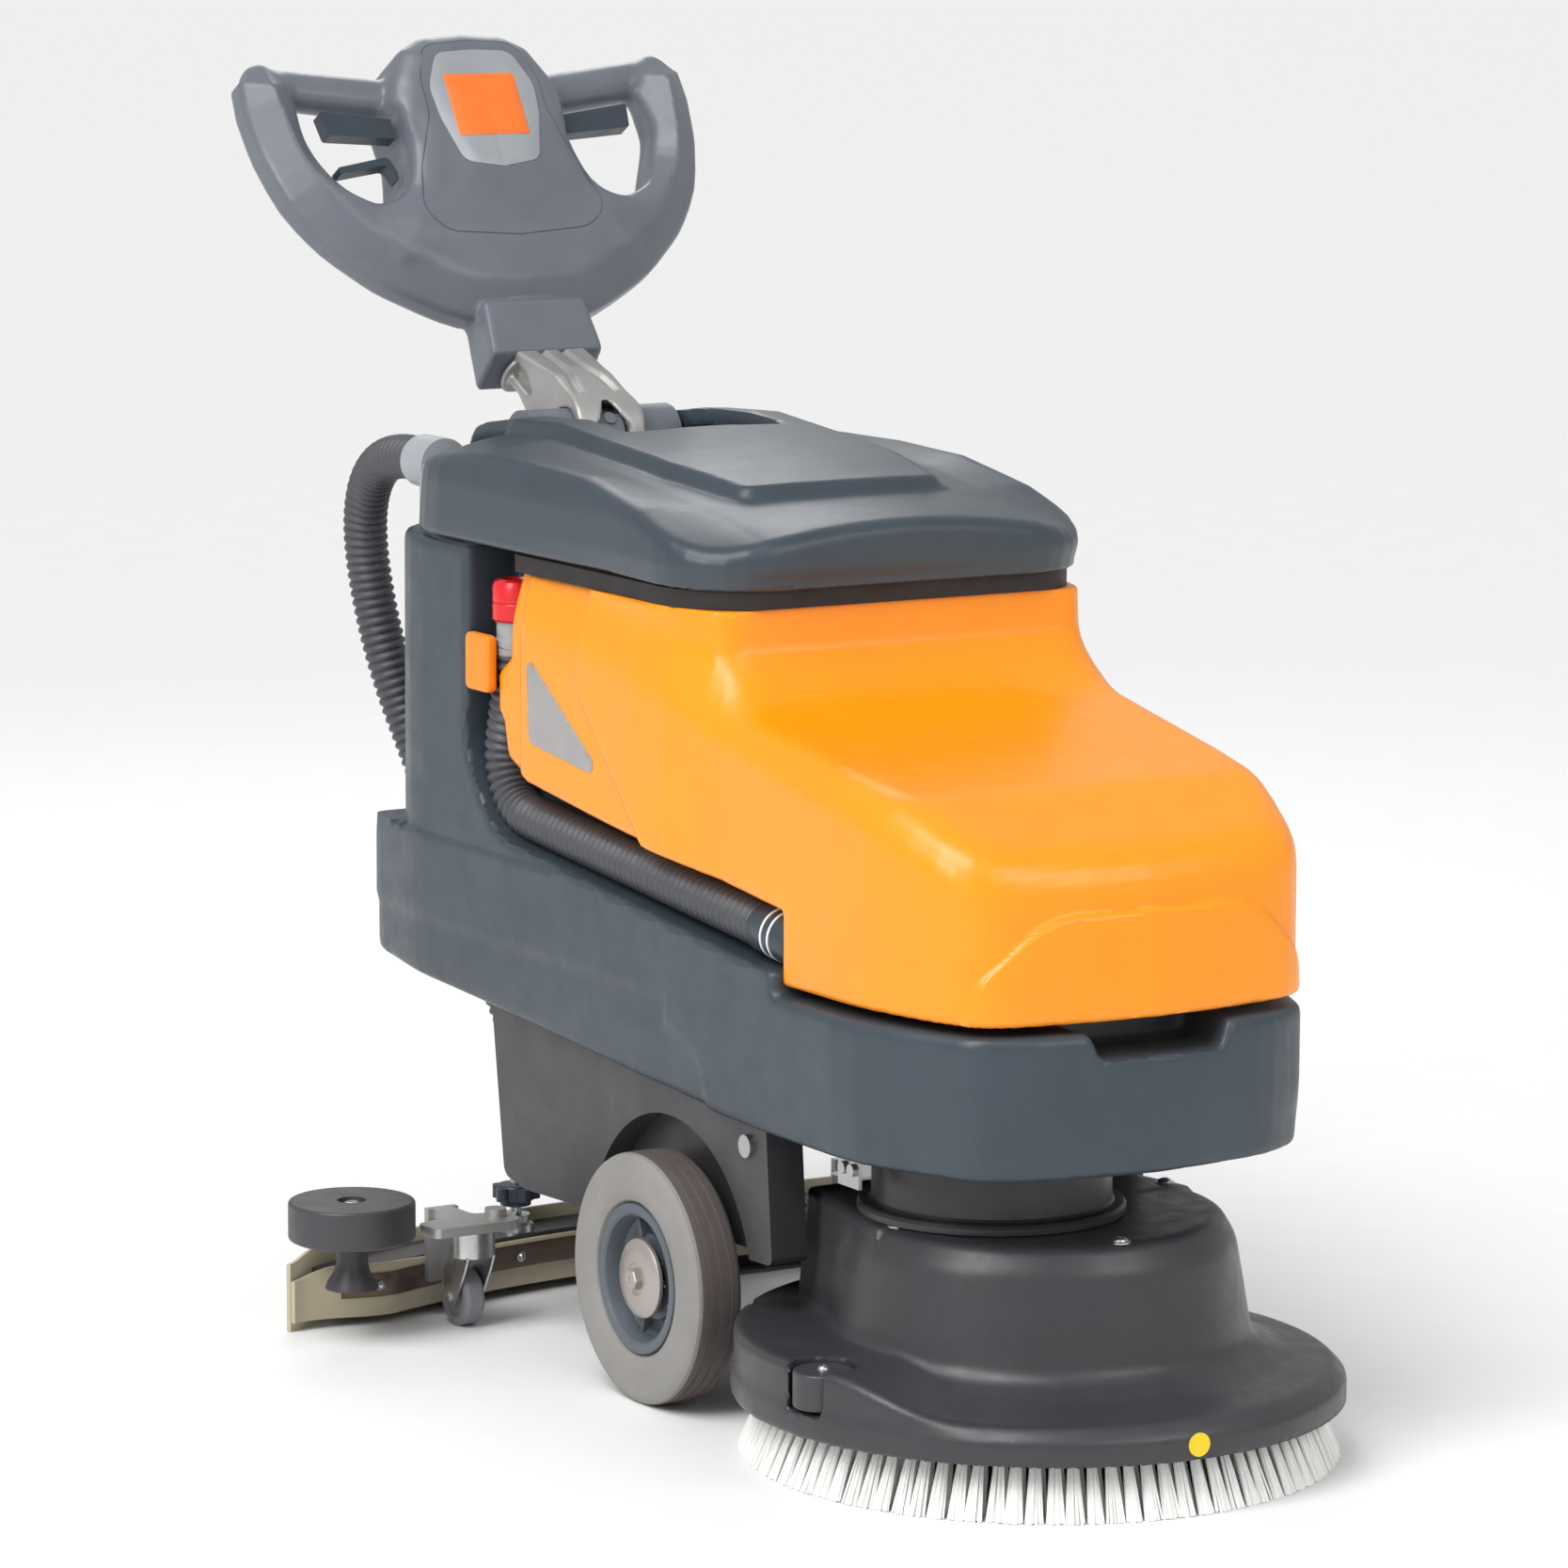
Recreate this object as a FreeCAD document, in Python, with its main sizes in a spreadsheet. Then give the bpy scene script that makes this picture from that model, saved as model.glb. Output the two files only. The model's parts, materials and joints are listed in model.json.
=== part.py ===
import FreeCAD, Part
import math
import os

# Walk-behind floor scrubber. Millimetres. +X is the travel direction, +Y the machine's
# left, +Z up, and the floor is z = 0. Lengths along X are measured from the wheel axle;
# "axle_x" moves everything so that the origin lies under the middle of the machine.

Vector = FreeCAD.Vector
Rotation = FreeCAD.Rotation
Placement = FreeCAD.Placement

SIZES = {
    # chassis and wheels
    "axle_x": 110.8,
    "axle_radius": 8.0,
    "bore_gap": 0.05,
    "wheel_radius": 100.0,
    "wheel_width": 44.0,
    "wheel_face_y": 205.5,
    "rim_radius": 62.0,
    "hub_disc_radius": 31.5,
    "arch_radius": 128.0,
    "housing_half": 172.0,
    # tub, column, tank and lid
    "shell_half": 190.0,
    "nose_x": 440.0,
    "nose_top": 355.0,
    "nose_bottom": 245.0,
    "column_rear": 470.0,
    "column_top": 646.0,
    "recess_y": 138.0,
    "tank_half": 187.0,
    "tank_bottom": 362.0,
    "tank_top": 632.0,
    "skin": 5.0,
    "lid_bottom": 647.0,
    "lid_front": 80.0,
    "slot_half": 73.0,
    "slot_front": 243.0,
    # brush deck
    "brush_x": 270.0,
    "deck_radius": 235.0,
    "deck_bottom": 44.0,
    "deck_top": 188.0,
    "bristle_radius": 231.0,
    "plate_radius": 208.0,
    "motor_x": 254.0,
    "motor_y": 35.0,
    "motor_radius": 105.0,
    "motor_height": 56.0,
    "deck_roller_radius": 23.0,
    "deck_roller_height": 28.0,
    # handle
    "barrel_x": 430.0,
    "barrel_z": 712.0,
    "barrel_radius": 28.0,
    "barrel_length": 140.0,
    "handle_x": 565.0,
    "handle_z": 840.0,
    "handle_lean": 31.0,
    "handle_depth": 46.0,
    "hub_depth": 78.0,
    "grip_radius": 17.0,
    # squeegee
    "squeegee_centre_x": 312.0,
    "nozzle_x": 396.0,
    "nozzle_radius": 21.0,
    "blade_rear_radius": 737.0,
    "blade_front_radius": 690.0,
    "blade_half_angle": 27.0,
    "bumper_radius": 52.0,
    "bumper_height": 33.0,
    "bumper_x": 296.0,
    "bumper_y": 301.0,
    "caster_x": 283.0,
    "caster_y": 197.0,
    "caster_wheel_radius": 24.5,
    "caster_trail": 16.0,
    # hoses
    "suction_radius": 19.0,
    "drain_radius": 18.5,
    "drain_y": 162.0,
    # power
    "battery_length": 270.0,
    "battery_width": 124.0,
    "battery_height": 138.0,
}

document = FreeCAD.newDocument("floor_scrubber")
sheet = document.addObject("Spreadsheet::Sheet", "sizes")
for line, (alias, value) in enumerate(SIZES.items(), start=1):
    sheet.set(f"A{line}", alias)
    sheet.set(f"B{line}", str(value))
    sheet.setAlias(f"B{line}", alias)
document.recompute()


def size(alias):
    """One driving dimension, read back from the spreadsheet."""
    return float(sheet.get(alias))


parts = []


def place(x, y, z, rotation=None):
    """Placement from lengths measured from the wheel axle."""
    return Placement(Vector(size("axle_x") + x, y, z), rotation or Rotation())


def new_body(label, placement):
    body = document.addObject("PartDesign::Body", label)
    body.Label = label
    body.Placement = placement
    parts.append(body)
    return body


def new_sketch(body, role, offset=0.0):
    sketch = body.newObject("Sketcher::SketchObject", body.Name + "_sketch")
    plane = [item for item in body.Origin.OriginFeatures if item.Role == role][0]
    sketch.AttachmentSupport = [(plane, "")]
    sketch.MapMode = "FlatFace"
    sketch.AttachmentOffset = Placement(Vector(0, 0, offset), Rotation())
    return sketch


def join(label, *pieces):
    """Fuse several pieces into one sub-part."""
    fused = document.addObject("Part::MultiFuse", label)
    fused.Label = label
    fused.Shapes = list(pieces)
    for piece in pieces:
        parts.remove(piece)
    parts.append(fused)
    return fused


def set_size(feature, name, value):
    """Bind a property to the sheet when value is an expression, else set the number."""
    if isinstance(value, str):
        feature.setExpression(name, value)
    else:
        setattr(feature, name, value)


def add_outline(sketch, corners):
    """Closed outline. A corner is (x, y) or, with a rounding radius, (x, y, r)."""
    count = len(corners)
    joints = []
    for index, corner in enumerate(corners):
        here = Vector(corner[0], corner[1], 0)
        before = corners[index - 1]
        after = corners[(index + 1) % count]
        if len(corner) < 3:
            joints.append((here, here))
            continue
        back = (Vector(before[0], before[1], 0) - here).normalize()
        ahead = (Vector(after[0], after[1], 0) - here).normalize()
        half = back.getAngle(ahead) / 2
        reach = corner[2] / math.tan(half)
        middle_line = (back + ahead).normalize()
        centre = here + middle_line * (corner[2] / math.sin(half))
        first = here + back * reach
        last = here + ahead * reach
        sketch.addGeometry(Part.Arc(first, centre - middle_line * corner[2], last))
        joints.append((first, last))
    for index in range(count):
        start = joints[index][1]
        end = joints[(index + 1) % count][0]
        if start.distanceToPoint(end) > 1e-6:
            sketch.addGeometry(Part.LineSegment(start, end))


def add_circle(sketch, x, y, radius):
    sketch.addGeometry(Part.Circle(Vector(x, y, 0), Vector(0, 0, 1), radius))


def add_band(sketch, centre, inner, outer, start, end):
    """Ring sector between two angles in degrees."""
    points = []
    for radius in (inner, outer):
        for angle in (start, (start + end) / 2, end):
            turn = math.radians(angle)
            reach = Vector(math.cos(turn), math.sin(turn), 0) * radius
            points.append(Vector(centre[0], centre[1], 0) + reach)
    sketch.addGeometry(Part.Arc(points[0], points[1], points[2]))
    sketch.addGeometry(Part.Arc(points[3], points[4], points[5]))
    sketch.addGeometry(Part.LineSegment(points[0], points[3]))
    sketch.addGeometry(Part.LineSegment(points[2], points[5]))


def feature_of(body, kind, sketch, name):
    feature = body.newObject("PartDesign::" + kind, body.Name + "_" + name)
    feature.Profile = sketch
    sketch.Visibility = False
    return feature


def pad(body, sketch, length, symmetric=False, downward=False):
    feature = feature_of(body, "Pad", sketch, "pad")
    set_size(feature, "Length", length)
    if symmetric:
        feature.SideType = "Symmetric"
    feature.Reversed = downward
    return feature


def pocket(body, sketch, depth, symmetric=False, upward=False):
    """Cut below the sketch plane, above it with upward, or right through with depth None."""
    feature = feature_of(body, "Pocket", sketch, "pocket")
    if depth is None:
        feature.Type = "ThroughAll"
        feature.SideType = "Symmetric"
        return feature
    set_size(feature, "Length", depth)
    if symmetric:
        feature.SideType = "Symmetric"
    feature.Reversed = upward
    return feature


def revolve(body, corners, role="XZ_Plane"):
    """Turn a (radius, height) outline about the body's own Z axis."""
    sketch = new_sketch(body, role)
    add_outline(sketch, corners)
    feature = feature_of(body, "Revolution", sketch, "turned")
    feature.ReferenceAxis = (sketch, ["V_Axis"])
    feature.Angle = 360.0
    return feature


def mirrored(half_outline):
    """Closed outline symmetric about x = 0 from its right half, listed top to bottom."""
    left = [(-corner[0],) + tuple(corner[1:]) for corner in reversed(half_outline)]
    keep_right = [corner for corner in half_outline]
    keep_left = [corner for corner in left if abs(corner[0]) > 1e-9]
    return keep_right + keep_left


def outside(body, outline, reach, low, high):
    """Trim the body to a plan outline between two heights."""
    sketch = new_sketch(body, "XY_Plane", low)
    add_outline(sketch, [(-reach, -reach), (reach, -reach), (reach, reach), (-reach, reach)])
    add_outline(sketch, outline)
    pocket(body, sketch, high - low, upward=True)


def block(body, x_range, y_range, z_range, cut=False):
    """Rectangular pad or pocket given by its three ranges."""
    sketch = new_sketch(body, "XY_Plane", z_range[0])
    add_outline(sketch, [(x_range[0], y_range[0]), (x_range[1], y_range[0]),
                         (x_range[1], y_range[1]), (x_range[0], y_range[1])])
    if cut:
        return pocket(body, sketch, z_range[1] - z_range[0], upward=True)
    return pad(body, sketch, z_range[1] - z_range[0])


# ---------------------------------------------------------------- chassis and wheels

UNDERSIDE = [(-304, 270), (-172, 262), (-19, 252), (78, 247), (173, 245)]
AXIS_RIGHT = Rotation(Vector(1, 0, 0), 90)
AXIS_LEFT = Rotation(Vector(1, 0, 0), -90)


def chassis_housing():
    body = new_body("chassis_housing", place(0, 0, 0))
    side = new_sketch(body, "XZ_Plane")
    under = [(x, z - 0.5) for x, z in UNDERSIDE[1:4]]
    add_outline(side, [(-294, 268), (-273, 129, 12), (-236, 123), (157, 138, 6), (147, 244.5)]
                + under[::-1])
    pad(body, side, "2 * sizes.housing_half", symmetric=True)
    for edge in (-1, 1):
        arch = new_sketch(body, "XZ_Plane", edge * 172)
        add_circle(arch, 0, 100, size("arch_radius"))
        pocket(body, arch, 24, upward=edge < 0)
    hollow = new_sketch(body, "XZ_Plane")
    add_outline(hollow, [(-280, 240), (-262, 100), (180, 100), (180, 236)])
    pocket(body, hollow, 280, symmetric=True)
    block(body, (-300, -222), (-32, 32), (100, 190), cut=True)
    shaft = new_sketch(body, "XZ_Plane")
    add_circle(shaft, 0, 100, size("axle_radius"))
    pocket(body, shaft, None)
    return body


def axle():
    body = new_body("axle", place(0, 0, 100, AXIS_RIGHT))
    rod = new_sketch(body, "XY_Plane")
    add_circle(rod, 0, 0, size("axle_radius"))
    pad(body, rod, 392, symmetric=True)
    return body


def wheel(side):
    """Tyre, dished rim and hub cap; local Z points out of the machine."""
    name = "left" if side > 0 else "right"
    turn = AXIS_LEFT if side > 0 else AXIS_RIGHT
    inner_face = size("wheel_face_y") - size("wheel_width")
    where = place(0, side * inner_face, size("wheel_radius"), turn)
    outer = size("wheel_radius")
    seat = size("rim_radius")
    wide = size("wheel_width")
    tread = []
    for groove in (12, 22, 32):
        tread += [(outer, groove - 1), (outer - 1.5, groove - 0.8),
                  (outer - 1.5, groove + 0.8), (outer, groove + 1)]
    tyre = new_body("tyre_" + name, where)
    revolve(tyre, [(seat, 5), (90, 1, 4), (outer, 4, 4)] + tread
            + [(outer, wide - 4, 4), (90, wide - 1, 4), (seat, wide - 5)])
    bore = size("axle_radius") + size("bore_gap")
    rim = new_body("rim_" + name, where)
    revolve(rim, [(bore, 2), (24, 2), (24, 18), (54, 14), (54, 4), (seat, 5), (seat, wide - 5),
                  (57, wide - 2, 1.5), (53, wide - 6), (50, 25, 3), (36, 25), (34, 31, 2), (bore, 31)])
    cap = new_body("hub_cap_" + name, where)
    revolve(cap, [(0, 35), (bore, 35), (bore, 31.2), (size("hub_disc_radius"), 31.2, 1),
                  (size("hub_disc_radius"), 36, 1.5), (0, 36)])
    bolt = new_sketch(cap, "XY_Plane", 36)
    add_outline(bolt, [(9.5 * math.cos(math.radians(60 * k)), 9.5 * math.sin(math.radians(60 * k)))
                       for k in range(6)])
    pad(cap, bolt, 7)
    return tyre


# ---------------------------------------------------------------- hose routes

SUCTION_ROUTE = [(-481, -137, 697), (-530, -136, 700), (-588, -132, 672), (-614, -124, 612),
                 (-612, -104, 510), (-597, -66, 400), (-588, -26, 285), (-560, -6, 190),
                 (-497, -1, 138), (-443, 0, 108)]
DRAIN_ROUTE = [(-268, 566), (-289, 472), (-238, 430), (150, 396.3)]


def tube_shape(points, radius, tightest=None):
    """Round tube along straight runs joined by tangent arcs, and the arcs' radii."""
    runs = [points[k + 1] - points[k] for k in range(len(points) - 1)]
    edges = []
    radii = []
    start = points[0]
    for index in range(1, len(points) - 1):
        ahead = Vector(runs[index]).normalize()
        back = Vector(runs[index - 1]).normalize()
        half = back.getAngle(ahead) / 2
        shorter = min(runs[index - 1].Length, runs[index].Length)
        bend = tightest or 0.45 * shorter / math.tan(half)
        reach = bend * math.tan(half)
        first = points[index] - back * reach
        last = points[index] + ahead * reach
        inward = (ahead - back).normalize()
        centre = points[index] + inward * (bend / math.cos(half))
        edges.append(Part.LineSegment(start, first).toShape())
        edges.append(Part.Arc(first, centre - inward * bend, last).toShape())
        radii.append(round(bend))
        start = last
    edges.append(Part.LineSegment(start, points[-1]).toShape())
    spine = Part.Wire(edges)
    ring = Part.Circle(points[0], Vector(runs[0]).normalize(), radius).toShape()
    shape = Part.Wire([ring])
    tube = spine.makePipeShell([shape], True, False)
    expected = math.pi * radius ** 2 * spine.Length
    print("tube radii", radii, "length", round(spine.Length), "volume ratio",
          round(tube.Volume / expected, 4))
    return tube


# ---------------------------------------------------------------- tub, column and tank

SHELF = [(184, 386), (100, 394), (-40, 400), (-181, 409), (-247, 417), (-290, 440),
         (-316, 475), (-325, 512), (-319, 550), (-305, 646)]
TANK_EDGE = [(184, 419), (-49, 444), (-210, 464, 10), (-243, 478, 12), (-256, 499), (-262, 523),
             (-268, 532), (-266, 564), (-248, 567), (-240, 632)]
REAR = [(-470, 646), (-493, 474), (-496, 400), (-509, 350, 40), (-536, 304, 14), (-531, 281, 6),
        (-473, 279)]


def base_tank():
    """Solution tank: tub with the nose, rear column, hose recess and battery well."""
    body = new_body("base_shell", place(0, 0, 0))
    half = size("shell_half")
    nose = size("nose_x")
    profile = new_sketch(body, "XZ_Plane")
    add_outline(profile, REAR + UNDERSIDE + [(nose, size("nose_bottom")), (nose, size("nose_top")),
                                             (184, size("nose_top"))] + SHELF)
    pad(body, profile, "2 * sizes.shell_half", symmetric=True)
    core = new_sketch(body, "XZ_Plane", -(half - size("recess_y")) / 2)
    gap = [(corner[0], corner[1] - 1.5) for corner in TANK_EDGE[:3]]
    add_outline(core, [(-300, 400), (180, 380), (180, 417.5)] + gap[1:]
                + [(-247, 480), (-260, 500), (-272, 530), (-272, 640), (-306, 640)])
    pad(body, core, half + size("recess_y"), symmetric=True)
    plan = [(-560, -120, 60), (-400, -190, 260), (290, -191, 160), (420, -150, 60), (nose, 0, 260),
            (420, 150, 60), (290, 191, 160), (-400, 190, 260), (-560, 120, 60)]
    outside(body, plan, 900, 200, 420)
    rear = -size("column_rear") - 26
    column = [(rear, -half, 116), (700, -half), (700, half), (rear, half, 116)]
    outside(body, column, 900, 420, 700)
    block(body, (-222, 172), (-130, 150), (270, 520), cut=True)
    block(body, (-462, -322), (-122, 122), (240, 626), cut=True)
    block(body, (360, nose + 5), (-60, 60), (335, 360), cut=True)
    motor_room = new_sketch(body, "XY_Plane", 240)
    add_circle(motor_room, size("motor_x"), -size("motor_y"), size("motor_radius") + 8)
    pocket(body, motor_room, 68, upward=True)
    rooms = [((196, 350), (-150, 150), (316, 347)), ((380, 425), (-80, 80), (262, 326)),
             ((200, 330), (92, 160), (262, 305)), ((-215, 165), (156, 184), (264, 376)),
             ((-215, 165), (-184, -136), (264, 366)), ((-318, -230), (-134, 176), (282, 404)),
             ((-440, -318), (-158, -128), (290, 420)), ((-440, -318), (128, 158), (290, 420)),
             ((-450, -318), (-178, -128), (436, 636)), ((-450, -318), (128, 178), (436, 636))]
    for x_range, y_range, z_range in rooms:
        block(body, x_range, y_range, z_range, cut=True)
    return hose_channel("base_tank", body)


def hose_channel(label, body):
    """Cut the drain hose's channel out of a body."""
    points = [Vector(x, -size("drain_y"), z) for x, z in DRAIN_ROUTE[:-1]]
    points[0] = points[0] + Vector(6, 0, 30)
    points.append(Vector(204, -size("drain_y"), 391.6))
    channel = document.addObject("Part::Feature", label + "_channel")
    channel.Shape = tube_shape(points, size("drain_radius") + 2.5, tightest=68)
    channel.Placement = place(0, 0, 0)
    parts.remove(body)
    carved = document.addObject("Part::Cut", label)
    carved.Label = label
    carved.Base = body
    carved.Tool = channel
    parts.append(carved)
    return carved


def tank_plan(inset):
    """Plan outline of the recovery tank, pulled in by the skin thickness."""
    wide = size("tank_half") - inset
    nose = size("nose_x") - 3 - inset
    return [(-300, -wide), (-100, -wide, 300), (80, -wide + 14, 300), (290, -wide + 4, 120),
            (405, -wide + 38, 50), (nose, 0, 220),
            (405, wide - 38, 50), (290, wide - 4, 120), (80, wide - 14, 300), (-100, wide, 300),
            (-300, wide)]


def recovery_tank():
    """Hood-shaped tank open at the top under the lid, channelled for the drain hose."""
    body = new_body("tank_shell", place(0, 0, 0))
    top = size("tank_top")
    low = size("tank_bottom")
    skin = size("skin")
    profile = new_sketch(body, "XZ_Plane")
    front = [(70, top, 6), (92, 566, 24), (316, 521, 60), (414, 480, 50), (438, low)]
    add_outline(profile, front + [(184, low)] + TANK_EDGE)
    pad(body, profile, "2 * sizes.tank_half", symmetric=True)
    outside(body, tank_plan(0), 900, 300, 700)
    crown = [(-400, -187), (-110, -186, 200), (92, -170, 75), (92, 170, 75), (-110, 186, 200),
             (-400, 187)]
    outside(body, crown, 900, 572, 700)
    rear_room = new_sketch(body, "XZ_Plane", -20)
    add_outline(rear_room, [(58, 700), (62, 630), (84, 556), (180, 534), (180, 428), (-49, 452),
                            (-236, 476), (-250, 540), (-236, 640), (-230, 700)])
    pocket(body, rear_room, 312, symmetric=True)
    hood_room = new_sketch(body, "XZ_Plane")
    add_outline(hood_room, [(170, 536), (310, 512, 50), (400, 472, 40), (412, low + skin),
                            (190, low + skin), (190, 430), (170, 432)])
    pocket(body, hood_room, 236, symmetric=True)
    block(body, (184, 300), (-160, 160), (low + skin, 500), cut=True)
    return hose_channel("recovery_tank", body)


def tank_badge():
    """Plain metallic badge let into the tank's right side."""
    body = new_body("tank_badge", place(0, -size("tank_half"), 0))
    face = new_sketch(body, "XZ_Plane")
    add_outline(face, [(-208, 572, 8), (-187, 568, 8), (-84, 484, 2), (-208, 505, 10)])
    pad(body, face, 1.2)
    return body


def lid_section(body, x, wide, shoulder_half, crown_half, shoulder, crown):
    """One cross-section of the lid at station x."""
    low = size("lid_bottom")
    section = new_sketch(body, "YZ_Plane", x)
    right = [(0, crown + 2), (crown_half, crown), (shoulder_half, shoulder),
             (wide, shoulder - 14), (wide, low)]
    add_outline(section, right + [(-y, z) for y, z in reversed(right[1:])])
    return section


def lid():
    """Hinged lid: lofted dome, slot for the handle hinge and notch for the suction elbow."""
    body = new_body("lid", place(0, 0, 0))
    stations = [(-480, 190, 172, 110, 708, 722), (-380, 190, 174, 112, 720, 735),
                (-240, 190, 176, 114, 723, 739), (-120, 190, 176, 114, 718, 732),
                (-40, 190, 176, 112, 704, 717), (20, 190, 172, 100, 692, 704),
                (72, 190, 168, 90, 678, 695), (80, 190, 166, 88, 672, 689)]
    sections = [lid_section(body, *station) for station in stations]
    loft = body.newObject("PartDesign::AdditiveLoft", "lid_loft")
    loft.Profile = sections[0]
    loft.Sections = sections[1:]
    loft.Ruled = True
    inner = [(x, wide - 12, shoulder_half - 8, crown_half - 8, shoulder - 6, crown - 6)
             for x, wide, shoulder_half, crown_half, shoulder, crown in stations[2:6]]
    inner[0] = (-size("slot_front") + 6,) + inner[0][1:]
    rooms = [lid_section(body, *station) for station in inner]
    hollow = body.newObject("PartDesign::SubtractiveLoft", "lid_hollow")
    hollow.Profile = rooms[0]
    hollow.Sections = rooms[1:]
    hollow.Ruled = True
    rear = -size("column_rear") + 2
    plan = [(rear, -189, 116), (10, -189, 60), (size("lid_front"), -150, 60),
            (size("lid_front"), 150, 60), (10, 189, 60), (rear, 189, 116)]
    outside(body, plan, 900, 640, 780)
    half = size("slot_half")
    block(body, (-500, -size("slot_front")), (-half, half), (640, 780), cut=True)
    block(body, (-500, -382), (-169, -105), (640, 780), cut=True)
    block(body, (-410, -237), (half + 6, 172), (640, 704), cut=True)
    block(body, (-376, -237), (-172, -half - 6), (640, 704), cut=True)
    return body


def lid_seal():
    body = new_body("lid_seal", place(0, 0, 0))
    ring = new_sketch(body, "XY_Plane", size("tank_top") + 0.5)
    add_outline(ring, [(-244, -182, 12), (30, -182, 80), (68, -140, 40), (68, 140, 40),
                       (30, 182, 80), (-244, 182, 12)])
    add_outline(ring, [(-232, -170, 8), (24, -170, 70), (56, -134, 34), (56, 134, 34),
                       (24, 170, 70), (-232, 170, 8)])
    pad(body, ring, 14)
    return body


# ---------------------------------------------------------------- inside the tub

def battery(side):
    name = "left" if side > 0 else "right"
    wide = size("battery_width")
    body = new_body("battery_" + name, place(-160, 10 + side * (wide / 2 + 3), 276.8))
    block(body, (0, size("battery_length")), (-wide / 2, wide / 2), (0, size("battery_height") - 12))
    lid_edge = size("battery_height") - 12
    block(body, (4, size("battery_length") - 4), (-wide / 2 + 4, wide / 2 - 4),
          (lid_edge, size("battery_height") - 4))
    for x in (24, size("battery_length") - 24):
        post = new_sketch(body, "XY_Plane", size("battery_height") - 4)
        add_circle(post, x, wide / 2 - 24, 8)
        pad(body, post, 12)
    return body


def battery_tray():
    body = new_body("battery_tray", place(-215, 0, 270.3))
    block(body, (0, 380), (-124, 144), (0, 6))
    block(body, (0, 4), (-124, 144), (6, 40))
    block(body, (376, 380), (-124, 144), (6, 40))
    return body


def suction_turbine():
    body = new_body("suction_turbine", place(-391, 0, 400))
    revolve(body, [(0, 0), (40, 0, 4), (40, 62), (56, 66, 3), (56, 108, 8), (24, 112), (24, 130),
                   (0, 130)])
    return body


def control_box():
    body = new_body("control_box", place(-391, 0, 300))
    block(body, (-48, 48), (-90, 90), (0, 60))
    for index in range(6):
        fin = -75 + 30 * index
        block(body, (-44, 44), (fin - 3, fin + 3), (60, 74))
    return body


# ---------------------------------------------------------------- hoses

def solid_part(label, shape, placement):
    feature = document.addObject("Part::Feature", label)
    feature.Label = label
    feature.Shape = shape
    feature.Placement = placement
    parts.append(feature)
    return feature


def suction_hose():
    points = [Vector(*point) for point in SUCTION_ROUTE]
    return solid_part("suction_hose", tube_shape(points, size("suction_radius")), place(0, 0, 0))


def drain_hose():
    points = [Vector(x, -size("drain_y"), z) for x, z in DRAIN_ROUTE]
    tube = tube_shape(points, size("drain_radius"), tightest=68)
    return solid_part("drain_hose", tube, place(0, 0, 0))


def drain_cuff():
    """Smooth cuff with two raised rings where the drain hose enters the tank."""
    lean = Rotation(Vector(0, 1, 0), 90 + math.degrees(math.atan2(33.7, 388)))
    body = new_body("drain_cuff", place(150.3, -size("drain_y"), 396.27, lean))
    outer = size("drain_radius")
    revolve(body, [(0, 0), (outer + 0.5, 0), (outer + 0.5, 10), (outer + 2, 10.5), (outer + 2, 12.5),
                   (outer + 0.5, 13), (outer + 0.5, 21), (outer + 2, 21.5), (outer + 2, 23.5),
                   (outer + 0.5, 24), (outer + 0.5, 31), (0, 31)])
    return body


def drain_neck():
    body = new_body("drain_neck", place(-267.9, -size("drain_y"), 570.6))
    revolve(body, [(0, 0), (15.5, 0), (15.5, 4), (14, 5), (14, 14), (16, 15), (16, 18.7), (0, 18.7)])
    return body


def drain_cap():
    body = new_body("drain_cap", place(-267.9, -size("drain_y"), 589.6))
    revolve(body, [(0, 0), (20, 0, 1), (20, 7, 1), (17, 9), (17, 30, 2), (14, 32), (0, 32)])
    for index in range(12):
        rib = new_sketch(body, "XY_Plane", 8)
        turn = math.radians(30 * index)
        add_circle(rib, 16.6 * math.cos(turn), 16.6 * math.sin(turn), 1.6)
        pad(body, rib, 21)
    return body


def hose_clip():
    body = new_body("hose_clip", place(0, 0, 0))
    hook = new_sketch(body, "XY_Plane", 530)
    add_outline(hook, [(-327, -194), (-291, -194, 3), (-287, -190.4), (-327, -190.4)])
    pad(body, hook, 46)
    return body


def suction_elbow():
    """Elbow on the column that carries the top of the suction hose."""
    body = new_body("suction_elbow", place(-446, -137, 646.2))
    riser = new_sketch(body, "XY_Plane")
    add_circle(riser, 6, 0, 21)
    pad(body, riser, 52)
    outlet = new_sketch(body, "YZ_Plane", -32)
    add_circle(outlet, 0, 50.8, 22)
    pad(body, outlet, 38)
    return body


# ---------------------------------------------------------------- brush deck

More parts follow.
